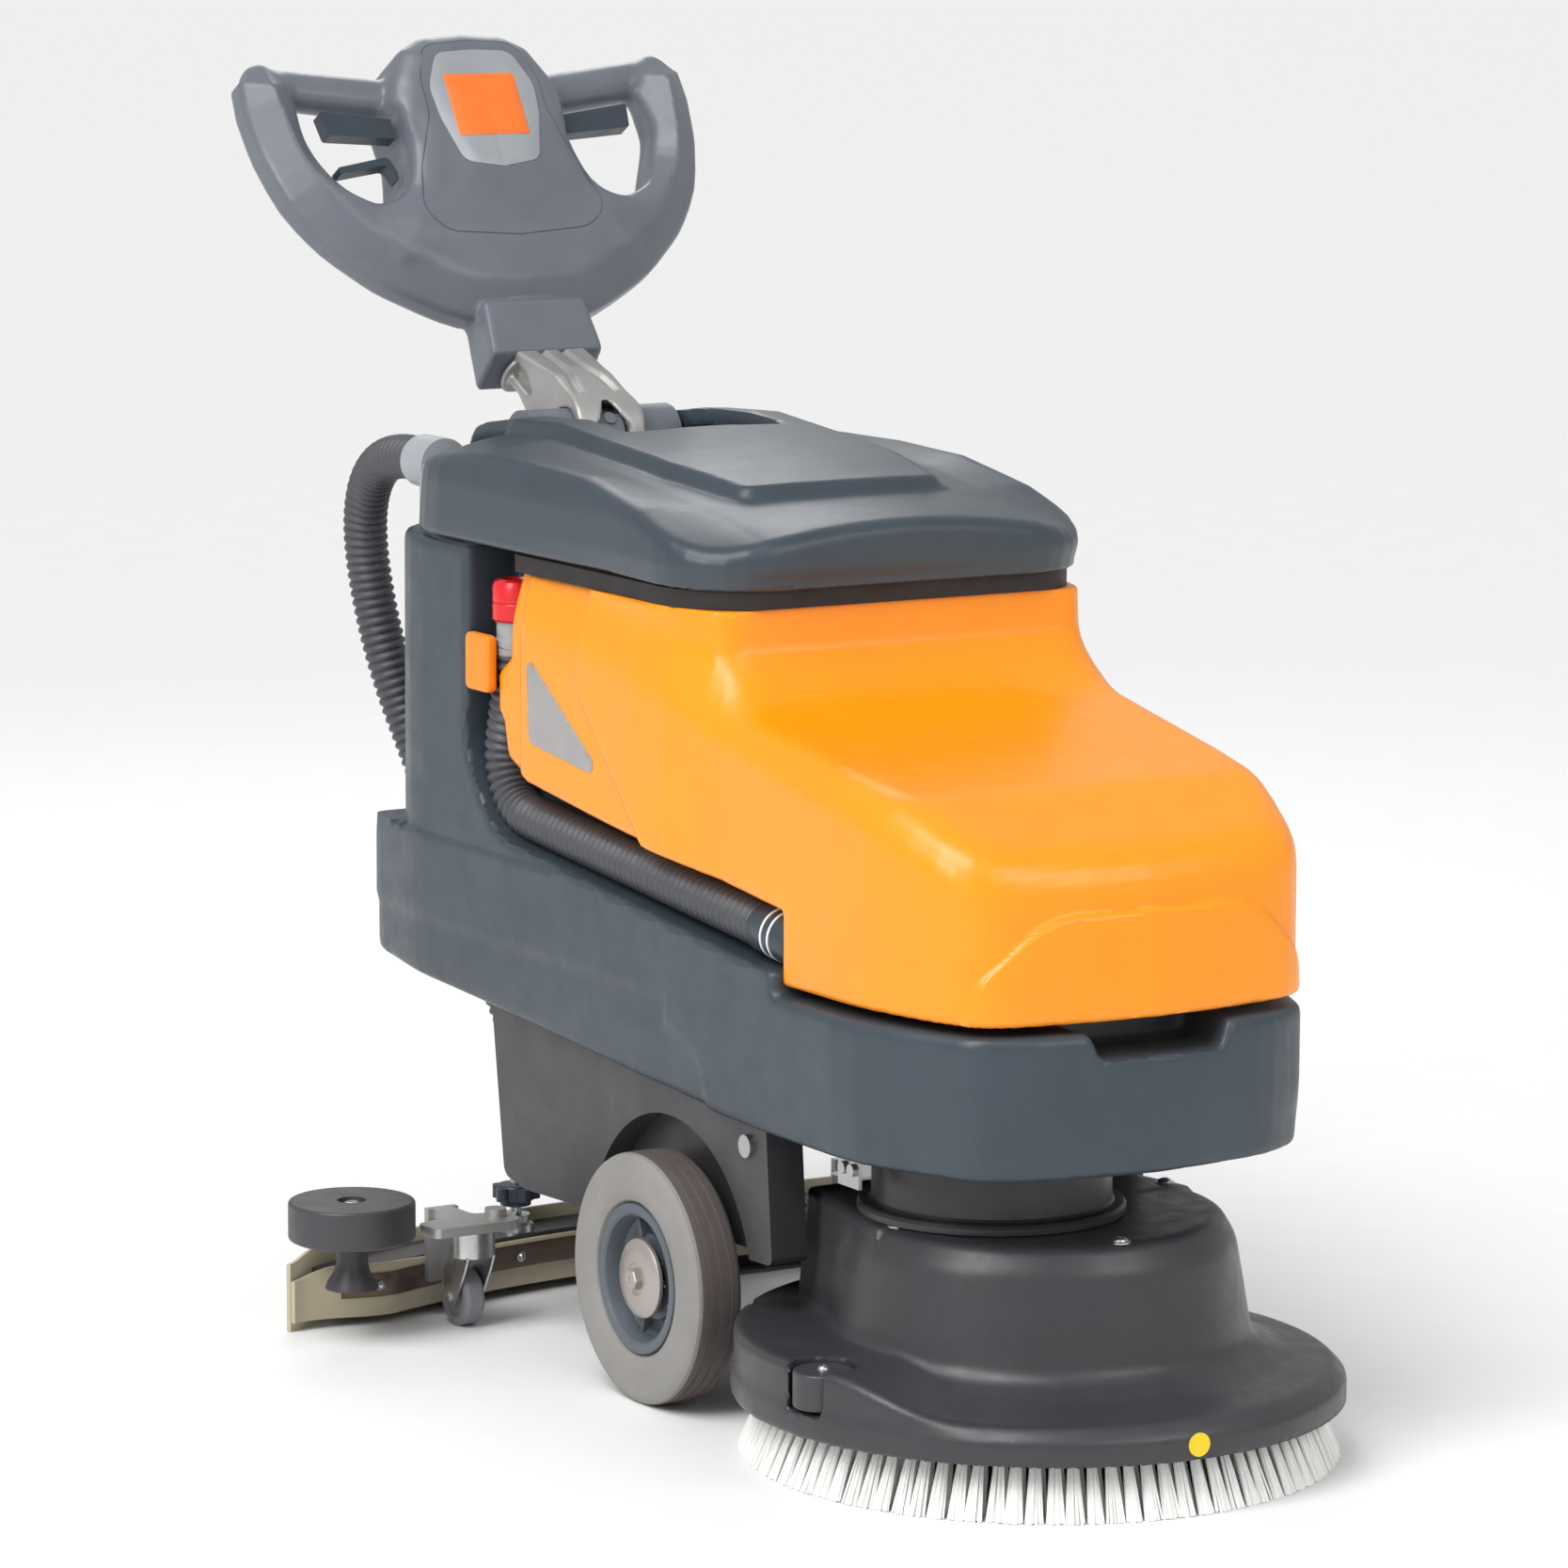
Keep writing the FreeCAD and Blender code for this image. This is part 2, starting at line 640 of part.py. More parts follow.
def deck_hood():
    body = new_body("deck_cover", place(size("brush_x"), 0, 0))
    outer = size("deck_radius")
    low = size("deck_bottom")
    top = size("deck_top")
    revolve(body, [(0, top), (132, top, 8), (146, 172, 10), (158, 98, 12), (176, 84, 20),
                   (226, 74, 10), (outer, 64, 8), (outer, low), (outer - 5, low),
                   (outer - 5, 63), (222, 69), (172, 79), (153, 93), (141, 168), (130, 182),
                   (0, 182)])
    rear = new_sketch(body, "XY_Plane", 96)
    add_outline(rear, [(-158, -118, 14), (0, -150), (0, 150), (-158, 118, 14)])
    pad(body, rear, 92)
    skirt = new_sketch(body, "XY_Plane", low + 10)
    add_band(skirt, (0, 0), 150, outer, 180, 286)
    pad(body, skirt, 44)
    rear_hollow = new_sketch(body, "XY_Plane", 40)
    add_outline(rear_hollow, [(-152, -108), (0, -136), (0, 136), (-152, 108)])
    pocket(body, rear_hollow, 142, upward=True)
    skirt_hollow = new_sketch(body, "XY_Plane", 40)
    add_band(skirt_hollow, (0, 0), 100, outer - 5, 150, 300)
    pocket(body, skirt_hollow, 18, upward=True)
    niche = new_sketch(body, "XY_Plane", 63)
    add_circle(niche, 33, -214, 25.5)
    pocket(body, niche, 60, upward=True)
    motor = new_sketch(body, "XY_Plane", 150)
    add_circle(motor, 0, 0, 12.05)
    pocket(body, motor, 60, upward=True)
    return body


def screw_spots():
    """Places of the four screws on the hood's top, seen from the brush axis."""
    turns = [math.radians(angle) for angle in (-84, -3, 79, 150)]
    return [(124 * math.cos(turn), 124 * math.sin(turn)) for turn in turns]


def motor_housing():
    body = new_body("motor_housing", place(size("motor_x"), -size("motor_y"), size("deck_top")))
    base = new_sketch(body, "XY_Plane")
    add_circle(base, 0, 0, size("motor_radius") + 3)
    pad(body, base, 3)
    can = new_sketch(body, "XY_Plane", 3)
    add_circle(can, 0, 0, size("motor_radius"))
    pad(body, can, "sizes.motor_height - 3")
    notch = new_sketch(body, "XY_Plane", -1)
    x, y = screw_spots()[0]
    shift_x = size("brush_x") - size("motor_x")
    add_circle(notch, shift_x + x, size("motor_y") + y, 11)
    pocket(body, notch, 70, upward=True)
    return body


def deck_screws():
    body = new_body("deck_screws", place(size("brush_x"), 0, 0))
    for x, y in screw_spots():
        head = new_sketch(body, "XY_Plane", size("deck_top") + 0.1)
        add_circle(head, x, y, 8)
        pad(body, head, 4)
    return body


def level_dot():
    angle = -3
    turn = Rotation(Vector(0, 0, 1), angle) * Rotation(Vector(0, 1, 0), 90)
    reach = size("deck_radius")
    spot = (size("brush_x") + reach * math.cos(math.radians(angle)), reach * math.sin(math.radians(angle)))
    body = new_body("level_dot", place(spot[0], spot[1], 56, turn))
    disc = new_sketch(body, "XY_Plane")
    add_circle(disc, 0, 0, 9)
    pad(body, disc, 0.8)
    return body


def brush_plate():
    """Round plate with the drive hub; it carries the bristle ring."""
    body = new_body("brush_plate", place(size("brush_x"), 0, 0))
    revolve(body, [(0, 46), (size("plate_radius"), 46), (size("plate_radius"), 53, 2), (70, 54),
                   (62, 76), (26, 80), (26, 92), (12, 92), (12, 186), (0, 186)])
    return body


def bristle_ring():
    body = new_body("bristle_ring", place(size("brush_x"), 0, 0))
    revolve(body, [(132, 45.8), (206, 45.8), (size("bristle_radius"), 0), (144, 0)])
    return body


def deck_roller():
    body = new_body("deck_roller", place(size("brush_x") + 33, -214, 66))
    radius = size("deck_roller_radius")
    height = size("deck_roller_height")
    revolve(body, [(4.05, 0), (radius, 0, 2), (radius, height, 2), (4.05, height)])
    return body


def deck_roller_pin():
    body = new_body("deck_roller_pin", place(size("brush_x") + 33, -214, 62.9))
    revolve(body, [(0, 0), (9, 0), (9, 2.6), (4, 2.6), (4, 31.6), (7, 31.6), (7, 34), (0, 35)])
    return body


# ---------------------------------------------------------------- handle

LEAN = math.radians(size("handle_lean"))
HANDLE_TURN = Rotation(Vector(0, 1, 0), Vector(-math.sin(LEAN), 0, math.cos(LEAN)),
                       Vector(math.cos(LEAN), 0, math.sin(LEAN)), "XYZ")
OPENING = [(80, 152, 6), (166, 166, 8), (170, 135, 30), (146, 80, 24), (112, 66, 20), (86, 96, 30)]


def handle_place():
    """Frame of the handle: x across, y up along the leaning face, z out of its front."""
    return place(-size("handle_x"), 0, size("handle_z"), HANDLE_TURN)


def handle_frame():
    """Bow with two hand openings, grips and raised middle."""
    body = new_body("handle_frame", handle_place())
    half = [(60, 190), (70, 187), (188, 209, 12), (216, 194, 12), (218, 160, 60), (202, 72, 120),
            (133, -2, 90), (60, -40, 60), (0, -46)]
    bow = new_sketch(body, "XY_Plane", -26)
    add_outline(bow, mirrored([(0, 190)] + half))
    pad(body, bow, "sizes.handle_depth")
    hub_half = [(0, 229), (36, 227, 20), (62, 214, 14), (74, 180, 40), (78, 120, 60), (96, 60, 60),
                (70, 6, 40), (0, 0)]
    hub = new_sketch(body, "XY_Plane", -52)
    add_outline(hub, mirrored(hub_half))
    pad(body, hub, "sizes.hub_depth")
    block(body, (-57, 57), (-90, -20), (-6, 33))
    hub_room = new_sketch(body, "XY_Plane", -60)
    add_outline(hub_room, mirrored([(0, 200), (46, 196, 12), (58, 140, 30), (60, 40, 20), (0, 30)]))
    pocket(body, hub_room, 81, upward=True)
    for side in (-1, 1):
        opening = new_sketch(body, "XY_Plane", 60)
        corners = [(side * x, y, r) for x, y, r in OPENING]
        add_outline(opening, corners if side > 0 else corners[::-1])
        pocket(body, opening, 160)
    return body


def label_shield():
    body = new_body("label_shield", handle_place())
    shield = new_sketch(body, "XY_Plane", 26.1)
    add_outline(shield, mirrored([(0, 206), (30, 204, 16), (47, 170, 30), (42, 120, 12), (0, 108)]))
    pad(body, shield, 0.8)
    return body


def label_plate():
    body = new_body("label_plate", handle_place())
    plate = new_sketch(body, "XY_Plane", 26.95)
    add_outline(plate, [(-33, 190, 1), (33, 190, 1), (33, 132, 1), (-33, 132, 1)])
    pad(body, plate, 0.6)
    return body


def control_panel():
    """Operator's panel on the rear of the hub."""
    body = new_body("control_panel", handle_place())
    panel = new_sketch(body, "XY_Plane", -55)
    add_outline(panel, mirrored([(0, 206), (52, 202, 14), (64, 130, 30), (66, 34, 20), (0, 24)]))
    pad(body, panel, 3)
    for x, y in ((-24, 170), (24, 170)):
        well = new_sketch(body, "XY_Plane", -56)
        add_circle(well, x, y, 9)
        pocket(body, well, 5, upward=True)
    return body


def push_button(name, x):
    body = new_body(name, handle_place())
    cap = new_sketch(body, "XY_Plane", -58)
    add_circle(cap, x, 170, 8.5)
    pad(body, cap, 3.5)
    return body


def paddle(side):
    """Drive paddle hinged along its upper edge below the grip."""
    name = "left" if side > 0 else "right"
    body = new_body("paddle_" + name, handle_place())
    inner, outer = (84, 150)
    corners = [(inner, 150.5), (outer, 160, 2), (outer - 3, 137, 3), (inner, 132)]
    corners = [(side * corner[0],) + tuple(corner[1:]) for corner in corners]
    face = new_sketch(body, "XY_Plane", -8)
    add_outline(face, corners)
    pad(body, face, 14)
    return body


def water_lever():
    """Bent lever at the side of the hub."""
    body = new_body("water_lever", handle_place())
    arm = new_sketch(body, "XY_Plane", -4)
    add_outline(arm, [(-93.5, 88, 1), (-101, 105, 6), (-147, 98, 2), (-149, 104, 2), (-98, 113, 6),
                      (-93, 98, 1)])
    pad(body, arm, 14)
    return body


def hinge_bracket():
    """Cast bracket: flange under the neck, ribbed web and fork around the barrel."""
    body = new_body("bracket_web", place(-size("barrel_x"), 0, size("barrel_z")))
    gap = size("barrel_radius") + 1.5
    side = new_sketch(body, "XZ_Plane")
    arc_points = []
    for angle in range(0, 171, 10):
        turn = math.radians(angle - 4)
        arc_points.append((gap * math.cos(turn), gap * math.sin(turn)))
    add_outline(side, [(37, -2), (36, 14), (27, 34, 20), (2, 51, 30), (-44, 68), (-76, 46.5),
                       (-62, 30), (-40, 16)] + arc_points[::-1])
    pad(body, side, 62, symmetric=True)
    slot = new_sketch(body, "XY_Plane", -20)
    add_outline(slot, [(4, -13), (60, -13), (60, 13), (4, 13)])
    pocket(body, slot, 90, upward=True)
    for y in (-38, 38):
        sign = 1 if y > 0 else -1
        scoop = new_sketch(body, "XY_Plane", -30)
        add_outline(scoop, [(-14, sign * 31.5), (60, sign * 26), (60, sign * 40), (-14, sign * 40)]
                    [::sign])
        pocket(body, scoop, 130, upward=True)
    return body


def bracket_flange():
    body = new_body("bracket_flange", handle_place())
    plate = new_sketch(body, "XZ_Plane", 90.2)
    add_outline(plate, [(-42, 0, 12), (42, 0, 12), (42, 30, 12), (-42, 30, 12)])
    pad(body, plate, 6)
    return body


def bracket_bolts():
    turn = Rotation(Vector(1, 0, 0), 90)
    body = new_body("bracket_bolts", place(-size("barrel_x") - 44, 0, size("barrel_z") + 36, turn))
    for side in (-1, 1):
        head = new_sketch(body, "XY_Plane", side * 31.1)
        add_outline(head, [(6 * math.cos(math.radians(60 * k)), 6 * math.sin(math.radians(60 * k)))
                           for k in range(6)])
        pad(body, head, 5, downward=side < 0)
    return body


def hinge_barrel():
    """Cross barrel with its two posts and the lug between the fork arms."""
    body = new_body("barrel_casting", place(-size("barrel_x"), 0, size("barrel_z")))
    roll = new_sketch(body, "XZ_Plane")
    add_circle(roll, 0, 0, size("barrel_radius"))
    pad(body, roll, "sizes.barrel_length", symmetric=True)
    for side in (-1, 1):
        low_y, high_y = sorted((side * 38, side * 69))
        block(body, (-22, 22), (low_y, high_y), (646.2 - size("barrel_z"), -10))
    lug = new_sketch(body, "XZ_Plane")
    add_band(lug, (0, 0), 20, size("barrel_radius") + 5, -25, 45)
    pad(body, lug, 24, symmetric=True)
    return body


def hinge_pin():
    turn = Rotation(Vector(0, 1, 0), 90 - 38)
    body = new_body("hinge_pin", place(-size("barrel_x"), 0, size("barrel_z"), turn))
    head = new_sketch(body, "XY_Plane", size("barrel_radius") + 5.05)
    add_circle(head, 0, 0, 5.5)
    pad(body, head, 1.2)
    return body


# ---------------------------------------------------------------- squeegee

def arc_part(label, inner, outer, low, high, half_angle):
    """Strip that follows the squeegee's curve between two radii and two heights."""
    body = new_body(label, place(size("squeegee_centre_x"), 0, 0))
    strip = new_sketch(body, "XY_Plane", low)
    add_band(strip, (0, 0), inner, outer, 180 - half_angle, 180 + half_angle)
    pad(body, strip, high - low)
    return body


def squeegee_body():
    """Channel between the blades with studs and the front and rear clamping straps' seats."""
    front = size("blade_front_radius")
    rear = size("blade_rear_radius")
    wide = size("blade_half_angle") - 0.6
    body = arc_part("squeegee_body", front + 2.2, rear - 2.2, 30, 50, wide)
    channel = new_sketch(body, "XY_Plane", 30)
    add_band(channel, (0, 0), front + 8, rear - 8, 180 - wide + 1, 180 + wide - 1)
    pocket(body, channel, 14, upward=True)
    for y in (-96, 96):
        reach = -math.sqrt((front + 22) ** 2 - y ** 2)
        stud = new_sketch(body, "XY_Plane", 50)
        add_circle(stud, reach, y, 12)
        pad(body, stud, 14)
        screw = new_sketch(body, "XY_Plane", 64)
        add_circle(screw, reach, y, 5)
        pad(body, screw, 30)
    plate_x = -size("squeegee_centre_x")
    for side in (-1, 1):
        arm = new_sketch(body, "XY_Plane", 50)
        post_x = plate_x - size("bumper_x")
        post_y = side * size("bumper_y")
        add_circle(arm, post_x, post_y, 13)
        pad(body, arm, 32)
        web = new_sketch(body, "XY_Plane", 50)
        corners = [(post_x, post_y - side * 13), (post_x, post_y + side * 9),
                   (post_x - 44, post_y + side * 2), (post_x - 50, post_y - side * 26)]
        add_outline(web, corners if side < 0 else corners[::-1])
        pad(body, web, 8)
        pin = new_sketch(body, "XY_Plane", 82)
        add_circle(pin, post_x, post_y, 5)
        pad(body, pin, 38)
    return body


def suction_nozzle():
    """Nozzle on the squeegee; the squeegee swivels about its upright tube."""
    body = new_body("suction_nozzle", place(-size("nozzle_x"), 0, 50))
    base = new_sketch(body, "XY_Plane")
    add_circle(base, 0, 0, 26)
    pad(body, base, 12)
    riser = new_sketch(body, "XY_Plane", 12)
    add_circle(riser, 0, 0, size("nozzle_radius"))
    pad(body, riser, 14)
    return body


def nozzle_elbow():
    """Elbow that takes the hose's lower end, turned to the hose's last run."""
    end = Vector(*SUCTION_ROUTE[-1])
    aim = (end - Vector(*SUCTION_ROUTE[-2])).normalize()
    socket = Part.makeCylinder(22, 44, end + aim * 0.3, aim)
    collar = Part.makeCylinder(25, 24, Vector(-size("nozzle_x"), 0, 76.4), Vector(0, 0, 1))
    under = Part.makeBox(200, 100, 60, Vector(-size("nozzle_x") - 100, -50, 16.4))
    shape = socket.fuse(collar).cut(under).removeSplitter()
    return solid_part("nozzle_elbow", shape, place(0, 0, 0))


def bumper_roller(side):
    name = "left" if side > 0 else "right"
    where = place(-size("bumper_x"), side * size("bumper_y"), 84)
    body = new_body("bumper_roller_" + name, where)
    radius = size("bumper_radius")
    height = size("bumper_height")
    revolve(body, [(5.05, 0), (radius - 4, 0, 2), (radius, 2, 3), (radius, height, 3), (12, height),
                   (12, height - 5), (5.05, height - 5)])
    return body


def caster_bracket(side):
    """Cast plate with two ears, bolted to the front strap."""
    name = "left" if side > 0 else "right"
    body = new_body("caster_bracket_" + name, place(-size("caster_x"), side * size("caster_y"), 0))
    plate = new_sketch(body, "XY_Plane", 84)
    add_outline(plate, [(22, -44, 6), (22, 36, 14), (-10, 40, 6), (-18, 10, 8), (-57, 8), (-57, -10),
                        (-18, -12, 8), (-6, -48, 8)])
    pad(body, plate, 8)
    block(body, (-57, -50), (-14, 14), (30.5, 92))
    ear = new_sketch(body, "XY_Plane", 92)
    add_circle(ear, 0, 22, 9)
    pad(body, ear, 7)
    return body


def caster_fork(side):
    name = "left" if side > 0 else "right"
    body = new_body("caster_fork_" + name, place(-size("caster_x"), side * size("caster_y"), 0))
    turntable = new_sketch(body, "XY_Plane", 62)
    add_circle(turntable, 0, 0, 19)
    pad(body, turntable, 21.6)
    trail = size("caster_trail")
    radius = size("caster_wheel_radius")
    for edge in (-1, 1):
        cheek = new_sketch(body, "XZ_Plane", edge * 12)
        add_outline(cheek, [(16, 63), (10, 50, 6), (-trail + 7, radius - 7, 7),
                            (-trail - 8, radius - 6, 7), (-trail - 10, 46, 8), (-14, 63)])
        pad(body, cheek, 2, symmetric=True)
    pin = new_sketch(body, "XZ_Plane")
    add_circle(pin, -trail, radius, 4)
    pad(body, pin, 30, symmetric=True)
    return body


def caster_wheel(side):
    name = "left" if side > 0 else "right"
    where = place(-size("caster_x") - size("caster_trail"), side * size("caster_y"),
                  size("caster_wheel_radius"), AXIS_RIGHT)
    body = new_body("caster_wheel_" + name, where)
    radius = size("caster_wheel_radius")
    revolve(body, [(4.05, -9.5), (9, -9.5), (9, -7), (16, -7), (17, -9), (radius - 3, -9, 2),
                   (radius, -6, 2), (radius, 6, 2), (radius - 3, 9, 2), (17, 9), (16, 7), (9, 7),
                   (9, 9.5), (4.05, 9.5)])
    return body


def stud_knob(side):
    """Star knob that clamps the squeegee to the arm plate."""
    name = "left" if side > 0 else "right"
    front = size("blade_front_radius")
    reach = size("squeegee_centre_x") - math.sqrt((front + 22) ** 2 - 96 ** 2)
    body = new_body("stud_knob_" + name, place(reach, side * 96, 72))
    revolve(body, [(5.05, 0), (13, 0), (13, 4), (16, 5), (16, 18, 3), (5.05, 18)])
    for index in range(5):
        lobe = new_sketch(body, "XY_Plane", 5)
        turn = math.radians(72 * index)
        add_circle(lobe, 15 * math.cos(turn), 15 * math.sin(turn), 6)
        pad(body, lobe, 11)
    return body


def squeegee_arm():
    """Lift arm from the chassis to the ring that holds the squeegee's nozzle."""
    body = new_body("arm_link", place(0, 0, 0))
    side = new_sketch(body, "XZ_Plane")
    add_outline(side, [(-200, 156, 8), (-200, 136, 8), (-262, 76, 10), (-300, 64), (-390, 64),
                       (-390, 76.4), (-306, 76.4, 20), (-268, 92, 10), (-216, 156, 8)])
    pad(body, side, 44, symmetric=True)
    ring = new_sketch(body, "XY_Plane", 64)
    add_circle(ring, -size("nozzle_x"), 0, 31)
    pad(body, ring, 12.4)
    hole = new_sketch(body, "XY_Plane", 50)
    add_circle(hole, -size("nozzle_x"), 0, size("nozzle_radius") + size("bore_gap"))
    pocket(body, hole, 60, upward=True)
    return body


def arm_pivot():
    body = new_body("arm_pivot", place(-210, 0, 146, AXIS_RIGHT))
    rod = new_sketch(body, "XY_Plane")
    add_circle(rod, 0, 0, 6)
    pad(body, rod, 279, symmetric=True)
    return body


def deck_hanger():
    """Small bracket with two screws under the tub."""
    body = new_body("deck_hanger", place(222, -150, 0))
    block(body, (0, 30), (-3, 0), (214, 244.8))
    for x in (9, 22):
        screw = new_sketch(body, "XZ_Plane", 3)
        add_circle(screw, x, 228, 5)
        pad(body, screw, 3)
    return body


def housing_screws():
    turn = Rotation(Vector(1, 0, 0), 90)
    body = new_body("housing_screws", place(0, 0, 0, turn))
    for side in (-1, 1):
        head = new_sketch(body, "XY_Plane", side * (size("housing_half") + 0.1))
        add_circle(head, 121, 226, 9)
        pad(body, head, 4, downward=side < 0)
    return body


def build():
    chassis_housing()
    join("housing_fittings", housing_screws(), deck_hanger())
    axle()
    base_tank()
    recovery_tank()
    tank_badge()
    lid()
    lid_seal()
    battery_tray()
    suction_turbine()
    control_box()
    suction_hose()
    suction_elbow()
    drain_hose()
    join("drain_fittings", drain_cuff(), drain_neck())
    drain_cap()
    hose_clip()
    join("deck_hood", deck_hood(), deck_roller_pin())
    motor_housing()
    deck_screws()
    level_dot()
    brush_plate()
    bristle_ring()
    deck_roller()
    handle_frame()
    label_shield()
    label_plate()
    control_panel()
    push_button("button_power", -24)
    push_button("button_brush", 24)
    water_lever()
    join("hinge_bracket", hinge_bracket(), bracket_flange(), bracket_bolts())
    join("hinge_barrel", hinge_barrel(), hinge_pin())
    join("squeegee_arm", squeegee_arm(), arm_pivot(), nozzle_elbow())
    squeegee_body()
    front = size("blade_front_radius")
    rear = size("blade_rear_radius")
    wide = size("blade_half_angle")
    arc_part("blade_front", front - 1.8, front + 2, 8, 47, wide)
    arc_part("blade_rear", rear - 2, rear + 2, 0, 61, wide)
    arc_part("blade_strap", front - 4, front - 2, 30, 49, wide - 1.6)
    suction_nozzle()
    for side in (-1, 1):
        wheel(side)
        battery(side)
        paddle(side)
        bumper_roller(side)
        caster_bracket(side)
        caster_fork(side)
        caster_wheel(side)
        stud_knob(side)


def write_parts():
    document.recompute()
    os.makedirs("parts", exist_ok=True)
    for item in document.Objects:
        if "Invalid" in item.State or "Error" in item.State:
            raise RuntimeError(item.Name + " failed: " + str(item.State))
    for part in parts:
        if part.Shape.isNull() or not part.Shape.isValid():
            raise RuntimeError(part.Label + " has no valid shape")
        part.Shape.exportStep(os.path.join("parts", part.Label + ".step"))


build()
write_parts()
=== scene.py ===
import json
import math
import random

import bpy
import numpy as np
from mathutils import Matrix, Vector


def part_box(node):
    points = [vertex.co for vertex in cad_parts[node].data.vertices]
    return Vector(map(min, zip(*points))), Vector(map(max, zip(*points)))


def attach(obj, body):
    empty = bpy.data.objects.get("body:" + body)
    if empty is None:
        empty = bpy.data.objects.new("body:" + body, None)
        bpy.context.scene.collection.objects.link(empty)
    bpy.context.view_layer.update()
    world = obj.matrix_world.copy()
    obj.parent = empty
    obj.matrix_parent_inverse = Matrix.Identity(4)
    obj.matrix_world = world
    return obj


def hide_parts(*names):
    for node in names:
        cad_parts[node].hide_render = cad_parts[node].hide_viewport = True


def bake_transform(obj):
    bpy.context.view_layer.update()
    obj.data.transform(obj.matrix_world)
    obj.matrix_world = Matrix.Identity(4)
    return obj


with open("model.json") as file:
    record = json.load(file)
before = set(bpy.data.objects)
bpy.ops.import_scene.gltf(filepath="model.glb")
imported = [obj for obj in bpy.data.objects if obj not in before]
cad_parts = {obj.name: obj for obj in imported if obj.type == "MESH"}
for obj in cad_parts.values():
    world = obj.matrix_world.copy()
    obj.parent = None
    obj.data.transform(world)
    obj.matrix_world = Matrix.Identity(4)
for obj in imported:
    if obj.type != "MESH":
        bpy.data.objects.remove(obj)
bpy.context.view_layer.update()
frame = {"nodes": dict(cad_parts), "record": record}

AXLE_X = sum(corner[0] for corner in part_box("axle")) / 2
random.seed(7)

# The shapes are in millimetres from the floor point under the middle of the axle: x forward,
# y to the operator's left, z up.


def metres(points):
    """Points in the object's millimetres to the frame's metres."""
    return np.asarray(points, float) * 0.001 + np.array([AXLE_X, 0.0, 0.0])


def spot(x, y, z):
    return Vector(metres([(x, y, z)])[0])


# ------------------------------------------------------------ distance fields

def arc_outline(corners, step=12.0):
    """Closed outline from corners (x, y) or (x, y, radius), each radius turned into an arc."""
    points = []
    count = len(corners)
    for index, corner in enumerate(corners):
        here = np.array(corner[:2], float)
        radius = corner[2] if len(corner) > 2 else 0
        if not radius:
            points.append(here)
            continue
        back = np.array(corners[index - 1][:2], float) - here
        ahead = np.array(corners[(index + 1) % count][:2], float) - here
        back_length = np.linalg.norm(back)
        ahead_length = np.linalg.norm(ahead)
        back /= back_length
        ahead /= ahead_length
        half = math.acos(max(-1.0, min(1.0, float(back @ ahead)))) / 2
        if half > math.pi / 2 - 0.01:
            points.append(here)
            continue
        reach = min(radius / math.tan(half), 0.49 * back_length, 0.49 * ahead_length)
        radius = reach * math.tan(half)
        middle = here + (back + ahead) / np.linalg.norm(back + ahead) * radius / math.sin(half)
        start = here + back * reach - middle
        end = here + ahead * reach - middle
        turn = math.atan2(start[0] * end[1] - start[1] * end[0], start @ end)
        pieces = max(2, int(abs(math.degrees(turn)) / step))
        first = math.atan2(start[1], start[0])
        for piece in range(pieces + 1):
            angle = first + turn * piece / pieces
            points.append(middle + radius * np.array([math.cos(angle), math.sin(angle)]))
    return np.array(points)


def in_outline(u, v, corners):
    """Signed distance to a closed outline, negative inside."""
    points = arc_outline(corners)
    u, v = np.broadcast_arrays(u, v)
    best = np.full(u.shape, 1e18)
    inside = np.zeros(u.shape, bool)
    for (ax, ay), (bx, by) in zip(points, np.roll(points, -1, axis=0)):
        run_x, run_y = bx - ax, by - ay
        length = run_x * run_x + run_y * run_y
        if length < 1e-9:
            continue
        share = np.clip(((u - ax) * run_x + (v - ay) * run_y) / length, 0, 1)
        gap = (u - ax - share * run_x) ** 2 + (v - ay - share * run_y) ** 2
        best = np.minimum(best, gap)
        crosses = ((ay > v) != (by > v)) & (u < (v - ay) * run_x / (run_y if run_y else 1e-9) + ax)
        inside ^= crosses
    return np.where(inside, -1, 1) * np.sqrt(best)


def both(a, b, soft=0.0):
    """Intersection of two fields, its edge rounded over about that many millimetres."""
    if not soft:
        return np.maximum(a, b)
    mix = np.clip(0.5 - 0.5 * (b - a) / soft, 0, 1)
    return b + (a - b) * mix + soft * mix * (1 - mix)


def either(a, b, soft=0.0):
    """Union of two fields with a fillet."""
    return -both(-a, -b, soft)


def less(a, b, soft=0.0):
    """The first field with the second taken away."""
    return both(a, -b, soft)


def in_box(x, y, z, low, high, soft=0.0):
    middle = [(a + b) / 2 for a, b in zip(low, high)]
    half = [(b - a) / 2 for a, b in zip(low, high)]
    sides = [abs(value - centre) - reach for value, centre, reach in zip((x, y, z), middle, half)]
    return both(both(sides[0], sides[1], soft), sides[2], soft)


def ease(value, start, end):
    """0 before start, 1 after end, smooth between."""
    share = np.clip((value - start) / (end - start), 0, 1)
    return share * share * (3 - 2 * share)


# ------------------------------------------------------------ meshes

